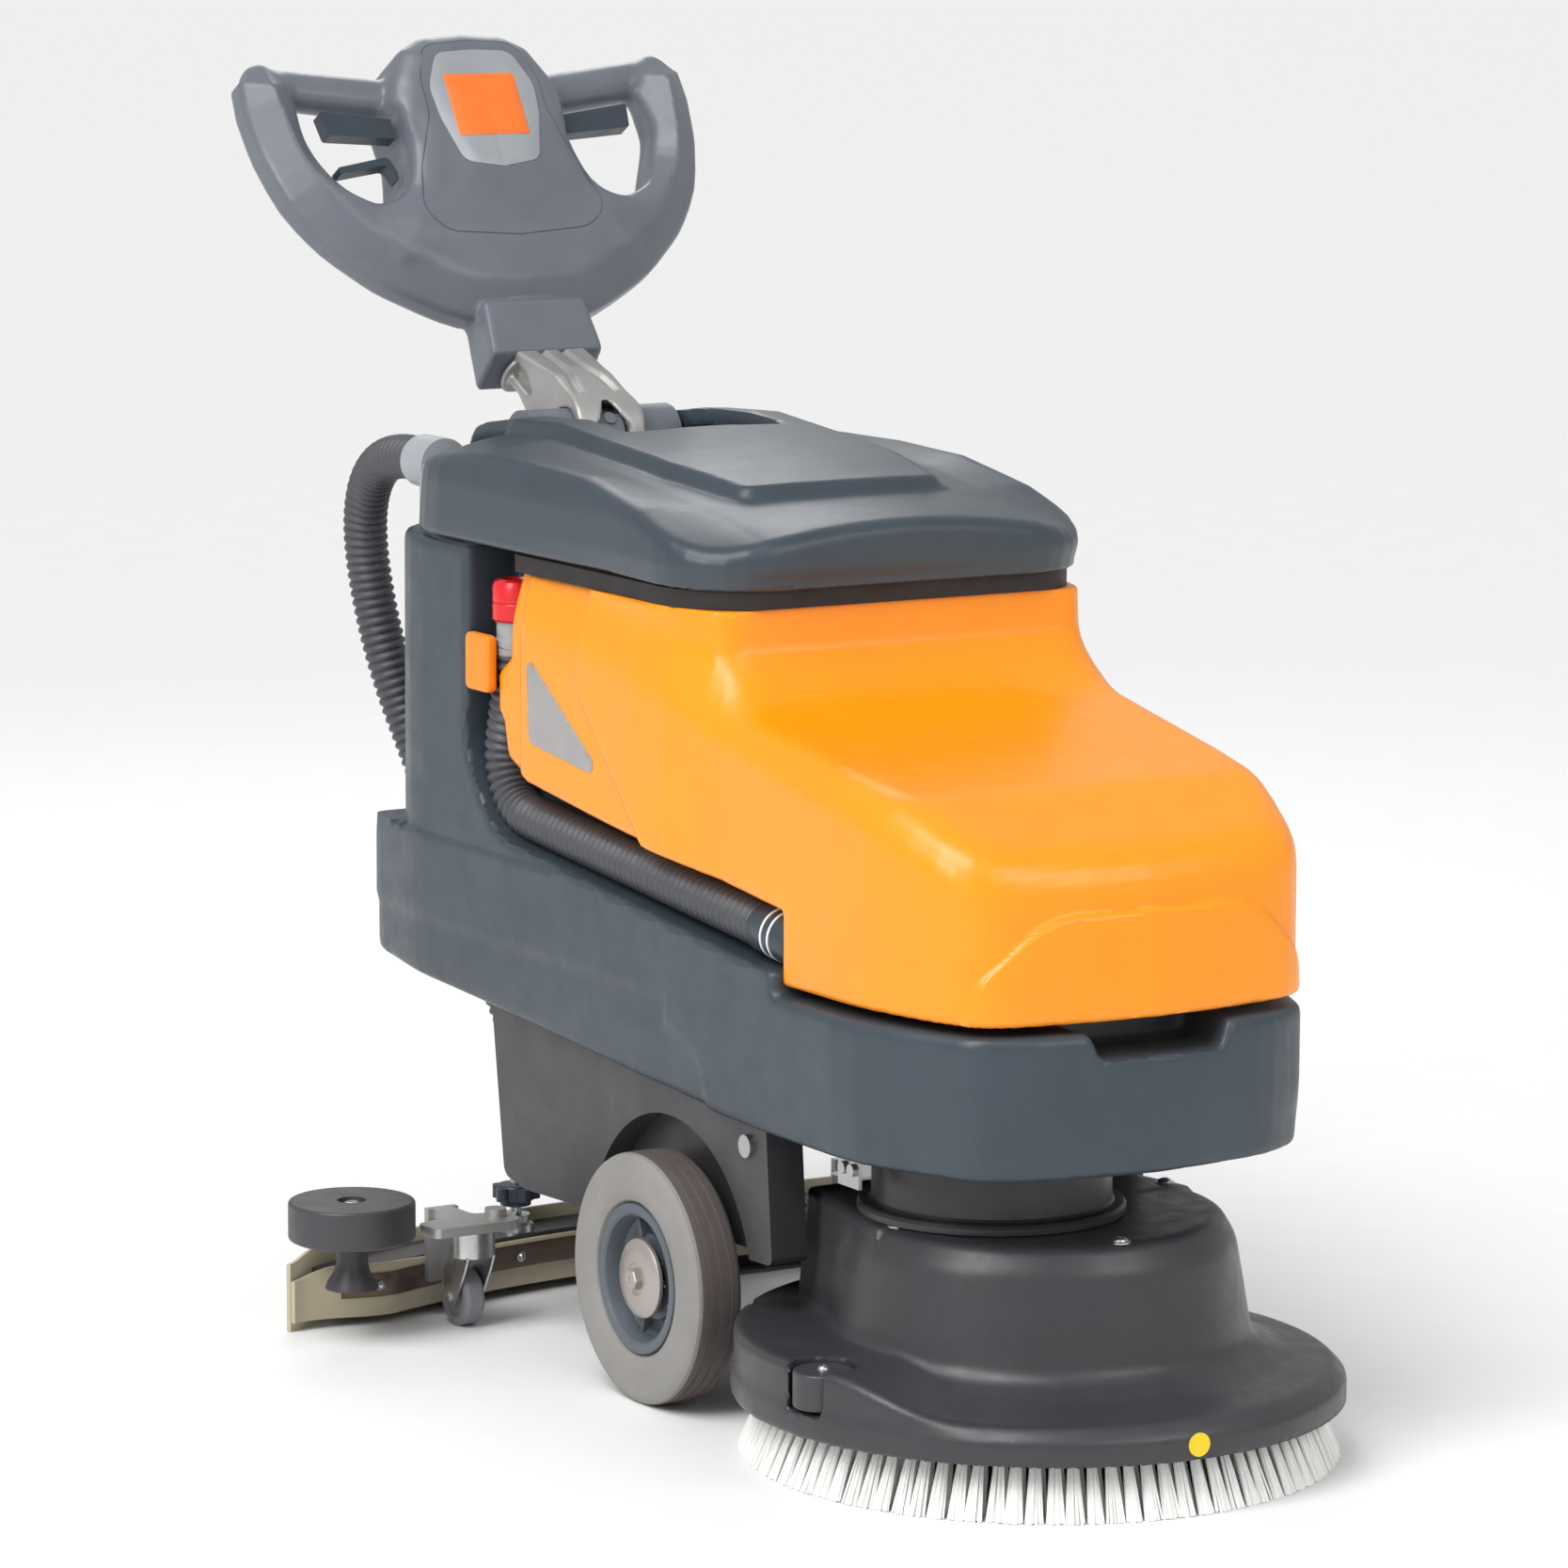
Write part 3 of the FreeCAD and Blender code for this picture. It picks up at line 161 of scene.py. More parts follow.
def skin_field(field, low, high, cell):
    """Vertices and quads on the zero surface of a field, by the surface-net method."""
    axes = [np.arange(a - 2 * cell, b + 2 * cell, cell) for a, b in zip(low, high)]
    x, y, z = axes[0][:, None, None], axes[1][None, :, None], axes[2][None, None, :]
    values = np.array(np.broadcast_to(field(x, y, z), [len(axis) for axis in axes]))
    inside = values < 0
    shape = [len(axis) - 1 for axis in axes]
    total = np.zeros(shape + [3])
    count = np.zeros(shape)
    corners = [(i, j, k) for i in (0, 1) for j in (0, 1) for k in (0, 1)]

    def corner(array, place):
        return array[tuple(slice(p, p + n) for p, n in zip(place, shape))]

    for place in corners:
        for axis in range(3):
            if place[axis]:
                continue
            other = tuple(p + (n == axis) for n, p in enumerate(place))
            a, b = corner(values, place), corner(values, other)
            cut = (a < 0) != (b < 0)
            share = np.where(cut, a / np.where(cut, a - b, 1), 0)
            for n in range(3):
                step = share if n == axis else place[n]
                total[..., n] += np.where(cut, step, 0)
            count += cut
    used = count > 0
    number = np.full(shape, -1)
    number[used] = np.arange(used.sum())
    cells = np.argwhere(used)
    offsets = total[used] / count[used][:, None]
    origin = np.array([axis[0] for axis in axes])
    points = origin + (cells + offsets) * cell
    faces = []
    for axis in range(3):
        after = [slice(None)] * 3
        before = [slice(None)] * 3
        after[axis], before[axis] = slice(1, None), slice(None, -1)
        change = inside[tuple(before)].astype(int) - inside[tuple(after)].astype(int)
        p, q = [n for n in range(3) if n != axis]
        for sign in (1, -1):
            spots = np.argwhere(change == sign)
            keep = (spots[:, p] > 0) & (spots[:, q] > 0)
            keep &= (spots[:, p] < shape[p]) & (spots[:, q] < shape[q])
            spots = spots[keep]
            ring = []
            for dp, dq in ((1, 1), (0, 1), (0, 0), (1, 0)):
                near = spots.copy()
                near[:, p] -= dp
                near[:, q] -= dq
                ring.append(number[near[:, 0], near[:, 1], near[:, 2]])
            quads = np.stack(ring, axis=1)
            if (sign > 0) == (axis == 1):
                quads = quads[:, ::-1]
            faces.append(quads)
    faces = np.concatenate(faces)
    return settle(field, points, cell), faces


def settle(field, points, cell):
    """Move points onto the zero surface along the field's slope."""
    start = points.copy()
    nudge = 0.05
    for _ in range(4):
        x, y, z = points.T
        value = field(x, y, z)
        slope = np.stack([field(x + nudge, y, z) - value, field(x, y + nudge, z) - value,
                          field(x, y, z + nudge) - value], axis=1) / nudge
        steep = np.maximum((slope ** 2).sum(axis=1), 0.2)
        points = points - slope * (value / steep)[:, None]
        drift = points - start
        far = np.linalg.norm(drift, axis=1)
        points = start + drift * np.minimum(1, 0.8 * cell / np.maximum(far, 1e-9))[:, None]
    return points


def ring_faces(rings, sides, closed=False):
    """Quads between each ring of points and the next; closed joins the last ring to the first."""
    faces = []
    for ring in range(rings if closed else rings - 1):
        start, after = ring * sides, (ring + 1) % rings * sides
        for index in range(sides):
            near = (index + 1) % sides
            faces.append((start + index, start + near, after + near, after + index))
    return faces


def end_faces(rings, sides):
    return [list(range(sides))[::-1], [(rings - 1) * sides + index for index in range(sides)]]


def add_piece(name, points, faces, material, body, replaces=(), smooth=35):
    """A mesh piece from millimetre points, shaded smooth up to an angle, riding on a body if one is named."""
    mesh = bpy.data.meshes.new(name)
    mesh.from_pydata(metres(points).tolist(), [], [list(map(int, face)) for face in faces])
    mesh.validate()
    mesh.update()
    piece = bpy.data.objects.new(name, mesh)
    bpy.context.scene.collection.objects.link(piece)
    piece.data.materials.append(material)
    if smooth:
        mesh.shade_smooth()
        mesh.set_sharp_from_angle(angle=math.radians(smooth))
    if body:
        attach(piece, body)
    if replaces:
        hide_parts(*replaces)
    return piece


def sculpt(name, field, low, high, cell, material, body, replaces=(), smooth=50,
           move=None):
    """A piece skinned from a distance field; move turns the field's own points into place."""
    points, faces = skin_field(field, low, high, cell)
    if move is not None:
        points = move(points)
    return add_piece(name, points, faces, material, body, replaces, smooth)


# ------------------------------------------------------------ materials

def linear(code):
    """A hex colour as it looks, to the linear values that the shader takes."""
    parts = [int(code[n:n + 2], 16) / 255 for n in (0, 2, 4)]
    return [part / 12.92 if part < 0.04045 else ((part + 0.055) / 1.055) ** 2.4 for part in parts]


def finish_material(name, colour, rough=0.4, rough_spread=0.08, grain=900.0, bump=0.15, depth=0.0002,
                    mottle=0.08, metallic=0.0, coat=0.0, wear=0.0, through=0.0, specular=0.5):
    """Moulded, painted or cast surface: mottled colour, uneven gloss, fine grain and rubbed patches."""
    material = bpy.data.materials.new(name)
    material.use_nodes = True
    nodes, links = material.node_tree.nodes, material.node_tree.links
    shader = nodes["Principled BSDF"]
    shader.inputs["Metallic"].default_value = metallic
    shader.inputs["Coat Weight"].default_value = coat
    shader.inputs["Coat Roughness"].default_value = 0.2
    shader.inputs["Specular IOR Level"].default_value = specular
    if through:
        shader.inputs["Subsurface Weight"].default_value = through
        shader.inputs["Subsurface Radius"].default_value = (0.01, 0.007, 0.004)
    where = nodes.new("ShaderNodeTexCoord")

    def noise(scale, detail=3.0, roughness=0.5):
        node = nodes.new("ShaderNodeTexNoise")
        node.inputs["Scale"].default_value = scale
        node.inputs["Detail"].default_value = detail
        node.inputs["Roughness"].default_value = roughness
        links.new(where.outputs["Object"], node.inputs["Vector"])
        return node.outputs["Fac"]

    def spread(value, low, high, start=0.3, end=0.7):
        node = nodes.new("ShaderNodeMapRange")
        for socket, number in (("From Min", start), ("From Max", end), ("To Min", low), ("To Max", high)):
            node.inputs[socket].default_value = number
        links.new(value, node.inputs["Value"])
        return node.outputs["Result"]

    base = linear(colour)
    tint = nodes.new("ShaderNodeMix")
    tint.data_type = "RGBA"
    tint.inputs["A"].default_value = [part * (1 - mottle) for part in base] + [1]
    tint.inputs["B"].default_value = [min(1, part * (1 + mottle) + 0.004 * mottle) for part in base] + [1]
    links.new(spread(noise(14.0, 5.0, 0.6), 0, 1), tint.inputs["Factor"])
    colour_out = tint.outputs["Result"]
    if wear:
        rubbed = nodes.new("ShaderNodeMix")
        rubbed.data_type = "RGBA"
        rubbed.inputs["B"].default_value = [min(1, part * 1.6 + 0.05) for part in base] + [1]
        links.new(spread(noise(60.0, 8.0, 0.7), 0, wear, 0.58, 0.75), rubbed.inputs["Factor"])
        links.new(colour_out, rubbed.inputs["A"])
        colour_out = rubbed.outputs["Result"]
    links.new(colour_out, shader.inputs["Base Color"])
    links.new(spread(noise(38.0, 6.0, 0.65), rough - rough_spread, rough + rough_spread),
              shader.inputs["Roughness"])
    relief = nodes.new("ShaderNodeBump")
    relief.inputs["Strength"].default_value = bump
    relief.inputs["Distance"].default_value = depth
    links.new(noise(grain, 2.0), relief.inputs["Height"])
    links.new(relief.outputs["Normal"], shader.inputs["Normal"])
    return material


FINISHES = {
    "shell_dark": dict(colour="36414a", rough=0.4, grain=1100, bump=0.22, wear=0.12),
    "lid_grey": dict(colour="36414a", rough=0.38, rough_spread=0.03, grain=1200, bump=0.12, coat=0.05),
    "tank_orange": dict(colour="ff9600", rough=0.34, grain=500, bump=0.10, mottle=0.03, coat=0.15,
                        through=0.06),
    "deck_grey": dict(colour="39373b", rough=0.38, grain=1000, bump=0.2, wear=0.1),
    "handle_grey": dict(colour="666b74", rough=0.34, grain=1300, bump=0.12),
    "painted_dark": dict(colour="353235", rough=0.4, grain=700, bump=0.15),
    "tyre_grey": dict(colour="8b8986", rough=0.72, grain=1600, bump=0.4, wear=0.2),
    "tread_grey": dict(colour="5a5150", rough=0.8, grain=1600, bump=0.5, wear=0.25),
    "rim_plastic": dict(colour="565e66", rough=0.42, grain=900, bump=0.2),
    "strap_steel": dict(colour="6b5b50", rough=0.34, grain=900, bump=0.1, metallic=0.7, mottle=0.15),
    "hub_silver": dict(colour="b3aaa4", rough=0.36, grain=1500, bump=0.12, metallic=0.6, mottle=0.1),
    "zinc": dict(colour="c2c4c6", rough=0.3, grain=1500, bump=0.1, metallic=0.95, mottle=0.12),
    "cast_metal": dict(colour="b4b3b1", rough=0.48, grain=1400, bump=0.5, metallic=0.75, mottle=0.12),
    "steel": dict(colour="b0b0b2", rough=0.28, grain=1800, bump=0.08, metallic=0.95),
    "hose_ribbed": dict(colour="4a4c51", rough=0.46, grain=1500, bump=0.2, wear=0.15),
    "black_plastic": dict(colour="2f3a44", rough=0.4, grain=1500, bump=0.25),
    # seal: dark rubber, made darker still as painted shade for the shadow under the lid's overhanging lip
    "seal_rubber": dict(colour="201c1b", rough=0.6, grain=1200, bump=0.3),
    "blade_rubber": dict(colour="bdb49a", rough=0.38, grain=400, bump=0.1, through=0.35, mottle=0.05),
    "bristle_white": dict(colour="f8f6f2", rough=0.45, grain=2500, bump=0.1, through=0.15, mottle=0.1),
    "red_plastic": dict(colour="d81a22", rough=0.28, grain=900, bump=0.08, coat=0.2),
    "clip_orange": dict(colour="fa8a08", rough=0.4, grain=900, bump=0.15),
    "light_grey": dict(colour="9ba0a5", rough=0.42, grain=1200, bump=0.15),
    "silver_badge": dict(colour="a9a7a6", rough=0.3, grain=2600, bump=0.02, metallic=0.5),
    "label_orange": dict(colour="f5772b", rough=0.3, grain=600, bump=0.03, mottle=0.03),
    "label_silver": dict(colour="a7abb0", rough=0.3, grain=1600, bump=0.05, metallic=0.35),
    "seam_grey": dict(colour="4c5159", rough=0.6, grain=900, bump=0.1),
    "ring_white": dict(colour="e8e8e6", rough=0.4, grain=900, bump=0.05),
    "yellow_dot": dict(colour="f2d21c", rough=0.35, grain=600, bump=0.03, mottle=0.03),
    "battery_case": dict(colour="3c3d40", rough=0.5, grain=900, bump=0.3),
    "roller_grey": dict(colour="3f3d41", rough=0.42, grain=900, bump=0.2, wear=0.1),
    "wheel_tan": dict(colour="7c7a80", rough=0.6, grain=1400, bump=0.3, wear=0.15),
}
MATERIALS = {name: finish_material(name, **finish) for name, finish in FINISHES.items()}


def dress_nodes():
    """Every CAD node takes the material of its slot, except the water lever, which takes black plastic."""
    for part in frame["record"]["subparts"]:
        node = frame["nodes"][part["node"]]
        node.data.materials.clear()
        dark = part["node"] == "water_lever"
        node.data.materials.append(MATERIALS["black_plastic" if dark else part["material_slot"]])


# ------------------------------------------------------------ recovery tank

HOOD_PROFILE = [(446, 300), (414, 480, 50), (316, 521, 80), (92, 562), (-300, 624), (-300, 300)]
HOOD_PLAN = [(-300, -187), (80, -183, 500), (300, -180, 300), (405, -149, 66), (437, 0, 260),
             (405, 149, 66), (300, 180, 300), (80, 183, 500), (-300, 187)]
CROWN_PROFILE = [(60, 660), (70, 600), (104, 530), (60, 440), (-300, 440), (-300, 660)]
CROWN_PLAN = [(-320, -186), (20, -184, 200), (96, -150, 78), (98, 150, 78), (20, 184, 200), (-320, 186)]
TANK_EDGE = [(-238, 680), (-242, 562, 3), (-262, 548, 5), (-262, 516, 5), (-254, 508, 4), (-247, 480, 12),
             (-210, 464, 20), (-49, 444), (184, 419, 4), (184, 362, 4), (470, 362), (470, 680)]
FRONT_PANEL = [(-152, 330), (-148, 392, 50), (-92, 442, 70), (92, 442, 70), (148, 392, 50), (152, 330)]


def tank_outside(x, y, z):
    low = both(in_outline(x, z, HOOD_PROFILE), in_outline(x, y, HOOD_PLAN), 34)
    high = both(in_outline(x, z, CROWN_PROFILE), in_outline(x, y, CROWN_PLAN), 14)
    shape = either(low, high, 42)
    crease = np.interp(z, [420, 460, 555, 640], [10, -28, -117, -108])
    inset = 9.5 * (1 - ease(x, crease - 4, crease + 2)) + 3.5 * (1 - ease(x, -224, -217))
    shape = shape + inset * ease(abs(y), 150, 170)
    panel = in_outline(y, z, FRONT_PANEL)
    shape = shape - 4.4 * (1 - ease(panel, -2.0, 1.0)) * ease(x, 250, 300)
    return both(both(shape, in_outline(x, z, TANK_EDGE), 6), z - 632)


def tank_field(x, y, z):
    shape = tank_outside(x, y, z)
    room = both(both(shape + 17, 480 - z, 8), x - 56, 6)
    mouth = in_box(x, y, z, (-236, -165, 600), (50, 165, 660), 20)
    return less(shape, either(room, mouth))


def build_tank():
    sculpt("recovery_tank_shell", tank_field, (-272, -192, 358), (446, 192, 634), 3.7,
           MATERIALS["tank_orange"], "machine", ["recovery_tank"])


# ------------------------------------------------------------ lid

LID_PLAN = [(-470, -190, 112), (80, -190, 80), (80, 190, 80), (-470, 190, 112)]
LID_INNER = [(-480, 704), (-430, 718), (-379, 725), (-300, 729), (-240, 724), (-150, 717), (-75, 709),
             (-21, 702), (41, 691), (84, 683)]
LID_EDGE = [(-480, 694), (-430, 706), (-379, 714), (-300, 721), (-219, 723), (-126, 720), (-38, 704),
            (49, 676), (84, 664)]
RAISED_PANEL = [(-480, -114), (-120, -112, 60), (-20, -96, 20), (-10, 0, 300), (-20, 96, 20),
                (-120, 112, 60), (-480, 114)]


def lid_top(x, y):
    """Height of the lid: a crowned middle, a shallow valley, then an edge ridge at each side."""
    inner = np.interp(x, *zip(*LID_INNER))
    edge = np.interp(x, *zip(*LID_EDGE))
    crown = (5 + 7 * ease(x, -60, 80)) * np.clip(1 - (y / 130) ** 2, 0, 1)
    panel = in_outline(x, y, RAISED_PANEL)
    raised = 12 * (1 - ease(panel, -11, 2)) * (1 - 0.15 * ease(x, -120, -20))
    return inner + crown + raised + (edge - inner) * ease(abs(y), 118, 184)


def lid_rim(x):
    """Height of the rim: it drops towards the front."""
    return 650 - 3 * ease(x, -100, 60)


def lid_field(x, y, z):
    plan = in_outline(x, y, LID_PLAN)
    lean = 10 * ease(z, 690, 735) + 3 * ease(z, 650, 700)
    under = 4 * ease(-z, -668, -650) * ease(x, -250, -60)
    walls = plan + lean * ease(-plan, -60, 20) + under
    top = z - lid_top(x, y)
    shape = both(both(walls, top, 11), lid_rim(x) - z, 3)
    room = both(both(walls + 8, top + 15, 8), 640 - z)
    shape = less(shape, room)
    notch_handle = in_box(x, y, z, (-520, -74, 600), (-243, 74, 900), 10)
    notch_hose = in_box(x, y, z, (-540, -170, 600), (-382, -104, 900), 8)
    return less(less(shape, notch_handle, 3), notch_hose, 3)


def build_lid():
    sculpt("lid_shell", lid_field, (-474, -194, 640), (86, 194, 748), 3.6, MATERIALS["lid_grey"], "lid",
           ["lid"])


# ------------------------------------------------------------ solution tank

SHELL_REAR = [(-470, 646), (-493, 474), (-496, 400), (-509, 350, 60), (-536, 304, 14), (-531, 281, 8)]
SHELL_UNDER = [(-304, 270), (-172, 262), (-19, 252), (78, 247), (173, 245), (440, 245)]
SHELL_SHELF = [(184, 386, 10), (100, 394), (-40, 400), (-181, 409, 120), (-262, 430, 60), (-298, 480, 60),
               (-307, 560), (-308, 646)]
SHELL_PLAN = [(-560, -112, 40), (-500, -176, 60), (-400, -190, 260), (300, -190, 160), (401, -148, 34),
              (424, -108, 90), (440, 0, 260), (424, 108, 90), (401, 148, 34), (300, 190, 160),
              (-400, 190, 260), (-500, 176, 60), (-560, 112, 40)]
COLUMN_PLAN = [(-496, -190, 112), (700, -190), (700, 190), (-496, 190, 112)]
CORE_PROFILE = [(-500, 300), (180, 300), (180, 416), (-49, 441), (-210, 461, 12), (-246, 477, 12),
                (-260, 500, 20), (-270, 530, 20), (-272, 646), (-500, 646)]


def shell_field(x, y, z):
    profile = in_outline(x, z, SHELL_REAR + SHELL_UNDER + [(440, 355), (184, 355, 8)] + SHELL_SHELF)
    plan = in_outline(x, y, SHELL_PLAN) + 3 * ease(-z, -300, -245)
    body = both(profile, plan, 9)
    column = in_outline(x, y, COLUMN_PLAN)
    body = np.where(z > 400, both(body, column, 6), body)
    core = both(in_outline(x, z, CORE_PROFILE), both(-138 - y, y - 190), 6)
    core = both(core, plan, 9)
    core = np.where(z > 400, both(core, column, 6), core)
    shape = either(body, core, 5)
    crease = in_outline(x, z, [(78, 200), (78, 258, 20), (70, 292, 26), (20, 306), (20, 330), (600, 330),
                               (600, 200)])
    shape = shape + 2.2 * ease(crease, -3, 3) * (1 - ease(z, 322, 334)) * ease(abs(y), 150, 170)
    grip = both(both(abs(y) - 54 - 0.4 * (z - 335), 335 - z, 6), 372 - x, 8)
    shape = less(shape, grip, 4)
    well = in_box(x, y, z, (-222, -130, 270), (172, 150, 560), 6)
    bay = in_box(x, y, z, (-462, -122, 200), (-322, 122, 626), 6)
    motor = both(np.hypot(x - 254, y + 35) - 113, z - 308)
    hose = in_outline(x, z, HOSE_GUTTER)
    hose = both(hose, y + 141, 4)
    shape = less(less(less(shape, well), bay), motor)
    return less(shape, hose, 3)


HOSE_GUTTER = [(-300, 640), (-312, 480, 66), (-262, 414, 66), (152, 374), (196, 372), (196, 420),
               (0, 446), (-230, 470), (-262, 520), (-256, 640)]


def build_shell():
    sculpt("solution_tank_shell", shell_field, (-540, -194, 243), (444, 194, 648), 4.6,
           MATERIALS["shell_dark"], "machine", ["base_tank"])


# ------------------------------------------------------------ handle

LEAN = math.radians(31)
NECK_X, NECK_Z = -565, 840
BARREL_X, BARREL_Z = -430, 712
BOW = [(0, -44), (60, -40, 90), (92, -24, 90), (131, -2, 120), (172, 35, 120), (200, 76, 120),
       (213, 125, 90), (217, 164, 60), (215, 192, 4), (190, 211, 5), (170, 190, 8), (158, 110, 40),
       (70, 60, 40), (60, 200), (0, 200)]
HUB = [(0, 229), (39, 226, 24), (62, 213, 16), (78, 184, 40), (88, 150, 40), (82, 120, 40), (92, 84, 30),
       (120, 60, 40), (110, 20), (0, 20)]
HAND_OPENING = [(80, 160, 10), (166, 170, 12), (170, 135, 34), (147, 79, 24), (124, 68, 30), (98, 72, 24),
                (84, 96, 30), (78, 125, 40)]


def along_handle(points):
    """The handle's own (sideways, up the handle, out of its face) points into the machine's frame."""
    v, u, n = np.asarray(points, float).T
    x = NECK_X - math.sin(LEAN) * u + math.cos(LEAN) * n
    z = NECK_Z + math.cos(LEAN) * u + math.sin(LEAN) * n
    return np.stack([x, v, z], axis=1)


def mirror_outline(half):
    left = [(-corner[0],) + tuple(corner[1:]) for corner in half[::-1] if corner[0] > 0.01]
    return half + left


def neck_foot(u, n):
    """The sloping lower face of the handle's neck block."""
    return -80 - 0.35 * (18 - n) - u


def handle_field(v, u, n):
    v = abs(v)
    bow = in_outline(v, u, BOW + [(-40, 200), (-40, -44)])
    width = 41 - 11 * ease(v, 20, 180)
    band = (n + bow * 23 / width - 1) / 1.14
    face = 21 + 3 * ease(u, 40, 120)
    plate = both(both(both(bow, n - face, 5), band, 4), -24 - n, 9)
    hub = in_outline(v, u, HUB + [(-40, 20), (-40, 229)])
    bulge = 27 - 10 * ease(hub, -34, 2) ** 2
    head = both(both(hub, n - bulge, 12), -50 + 22 * (1 - ease(u, 30, 90)) - n, 10)
    shape = either(plate, head, 16)
    shape = less(shape, in_outline(v, u, HAND_OPENING), 7)
    along = np.clip((v - 70) / 124, 0, 1)
    grip = np.hypot((u - 177 - 17 * along) / 1.08, n + 14) - 17.5 + 1.2 * along
    grip = both(grip, both(68 - v, v - 201), 8)
    shape = either(shape, grip, 8)
    neck = both(both(neck_foot(u, n), u + 30), both(-26 - n, n - 18), 5)
    neck = both(abs(v) - 50 - 0.09 * (-40 - u), neck, 5)
    return either(shape, neck, 5)


def reach(field, places, toward):
    """Steps from each place along a direction until the field's surface is met."""
    places = np.array(places, float)
    toward = np.asarray(toward, float)
    for _ in range(60):
        gap = np.clip(field(*places.T), -2, 6) * 0.8
        places += gap[:, None] * toward
    return places


def on_handle(points, lift):
    """Points on the handle's front face, lifted off it."""
    start = np.column_stack([points, np.full(len(points), 40.0)])
    found = reach(handle_field, start, (0, 0, -1))
    found[:, 2] += lift
    return along_handle(found)


def on_tank_side(points, lift):
    """Points on the recovery tank's right-hand side, given as (x, z)."""
    x, z = points.T
    start = np.column_stack([x, np.full(len(x), -205.0), z])
    found = reach(tank_outside, start, (0, 1, 0))
    found[:, 1] -= lift
    return found


def decal(name, outline, place, lift, material, body, replaces=()):
    """A thin plate that follows the surface under it, with its edge sunk in that surface."""
    corners = arc_outline(outline, 6)
    loop = np.column_stack([np.vstack([corners, corners[:1]]), np.zeros(len(corners) + 1)])
    loop = even_points(loop, 3.0)[0][:-1, :2]
    middle = loop.mean(axis=0)
    steps = [(1.0, -0.6), (1.0, lift - 0.3), (0.985, lift), (0.75, lift), (0.5, lift), (0.25, lift),
             (0.03, lift)]
    points = np.concatenate([place(middle + (loop - middle) * size, height) for size, height in steps])
    count = len(loop)
    faces = end_faces(len(steps), count)[1:] + ring_faces(len(steps), count)
    return add_piece(name, points, faces, material, body, replaces, 40)


def build_handle():
    sculpt("handle_shell", handle_field, (-222, -94, -56), (222, 234, 38), 3.0, MATERIALS["handle_grey"],
           "handle", ["handle_frame"], move=along_handle)
    shield = mirror_outline([(0, 205), (36, 203, 14), (51, 170, 30), (48, 140, 30), (36, 97, 12), (0, 91)])
    decal("label_shield_plate", shield, on_handle, 0.8, MATERIALS["label_silver"], "handle",
          ["label_shield"])
    square = [(-35, 121, 1.5), (33, 121, 1.5), (33, 181, 1.5), (-35, 181, 1.5)]
    decal("label_square", square, on_handle, 1.4, MATERIALS["label_orange"], "handle",
          ["label_plate"])
    seam = mirror_outline([(0, 216), (44, 213, 16), (57, 178, 40), (57, 146, 40), (76, 96, 60), (88, 52, 22),
                           (70, 33, 30), (0, 28)])
    tube_piece("cover_seam", on_handle(arc_outline(seam, 8), -0.1), lambda s: 0.5, MATERIALS["seam_grey"],
               "handle", sides=6, closed=True)


# ------------------------------------------------------------ hoses

SUCTION_ROUTE = [(-481, -137, 697), (-530, -136, 700), (-588, -132, 672), (-614, -124, 612),
                 (-612, -104, 510), (-597, -66, 400), (-588, -26, 285), (-560, -6, 190),
                 (-497, -1, 138), (-443, 0, 108)]
SUCTION_PITCH, DRAIN_PITCH = 8.0, 8.6
DRAIN_ROUTE = [(-268, -162, 568), (-277, -162, 520), (-290, -162, 470), (-268, -162, 432),
               (-214, -162, 427), (-60, -162, 414.5), (150, -162, 396.3)]


def spline_through(route):
    """Points in metres along the smooth NURBS spline of a route given in millimetres."""
    curve = bpy.data.curves.new("route", "CURVE")
    curve.dimensions = "3D"
    spline = curve.splines.new("NURBS")
    spline.points.add(len(route) - 1)
    for point, place in zip(spline.points, route):
        point.co = (*spot(*place), 1)
    spline.order_u = 3
    spline.use_endpoint_u = True
    spline.resolution_u = 24
    holder = bpy.data.objects.new("route", curve)
    mesh = bpy.data.meshes.new_from_object(holder)
    points = np.array([vertex.co[:] for vertex in mesh.vertices])
    bpy.data.objects.remove(holder)
    bpy.data.meshes.remove(mesh)
    return points


def even_points(points, step):
    """The same line with its points a fixed distance apart."""
    lengths = np.concatenate([[0], np.cumsum(np.linalg.norm(np.diff(points, axis=0), axis=1))])
    marks = np.linspace(0, lengths[-1], max(2, int(round(lengths[-1] / step))) + 1)
    return np.column_stack([np.interp(marks, lengths, points[:, n]) for n in range(3)]), marks


def tube_rings(points, radii, sides, closed=False):
    """Rings of points round a line, carried along it without twist, and the faces between them."""
    if closed:
        ahead = np.roll(points, -1, axis=0) - np.roll(points, 1, axis=0)
    else:
        ahead = np.gradient(points, axis=0)
    ahead /= np.linalg.norm(ahead, axis=1)[:, None]
    side = np.cross(ahead[0], (0.3, 0.2, 0.93))
    rings = []
    for tangent, middle, radius in zip(ahead, points, radii):
        side = side - tangent * (side @ tangent)
        side /= np.linalg.norm(side)
        up = np.cross(tangent, side)
        turns = np.arange(sides) * 2 * math.pi / sides
        rings.append(middle + radius * (np.outer(np.cos(turns), side) + np.outer(np.sin(turns), up)))
    faces = ring_faces(len(points), sides, closed)
    if not closed:
        faces += end_faces(len(points), sides)
    return np.concatenate(rings), faces


def tube_piece(name, points, radius, material, body, sides=28, closed=False, replaces=()):
    """A tube in millimetres along a line; radius is a function of the distance along it."""
    points = np.asarray(points, float)
    lengths = np.concatenate([[0], np.cumsum(np.linalg.norm(np.diff(points, axis=0), axis=1))])
    rings, faces = tube_rings(points, [radius(s) for s in lengths], sides, closed)
    return add_piece(name, rings, faces, material, body, replaces, 60)


def ribbed(radius, pitch, depth):
    """Radius of a corrugated hose: narrow rounded ribs with deep grooves between."""
    def at(s):
        wave = 0.5 + 0.5 * math.cos(2 * math.pi * s / pitch)
        return radius - depth * (1 - wave ** 0.7)
    return at


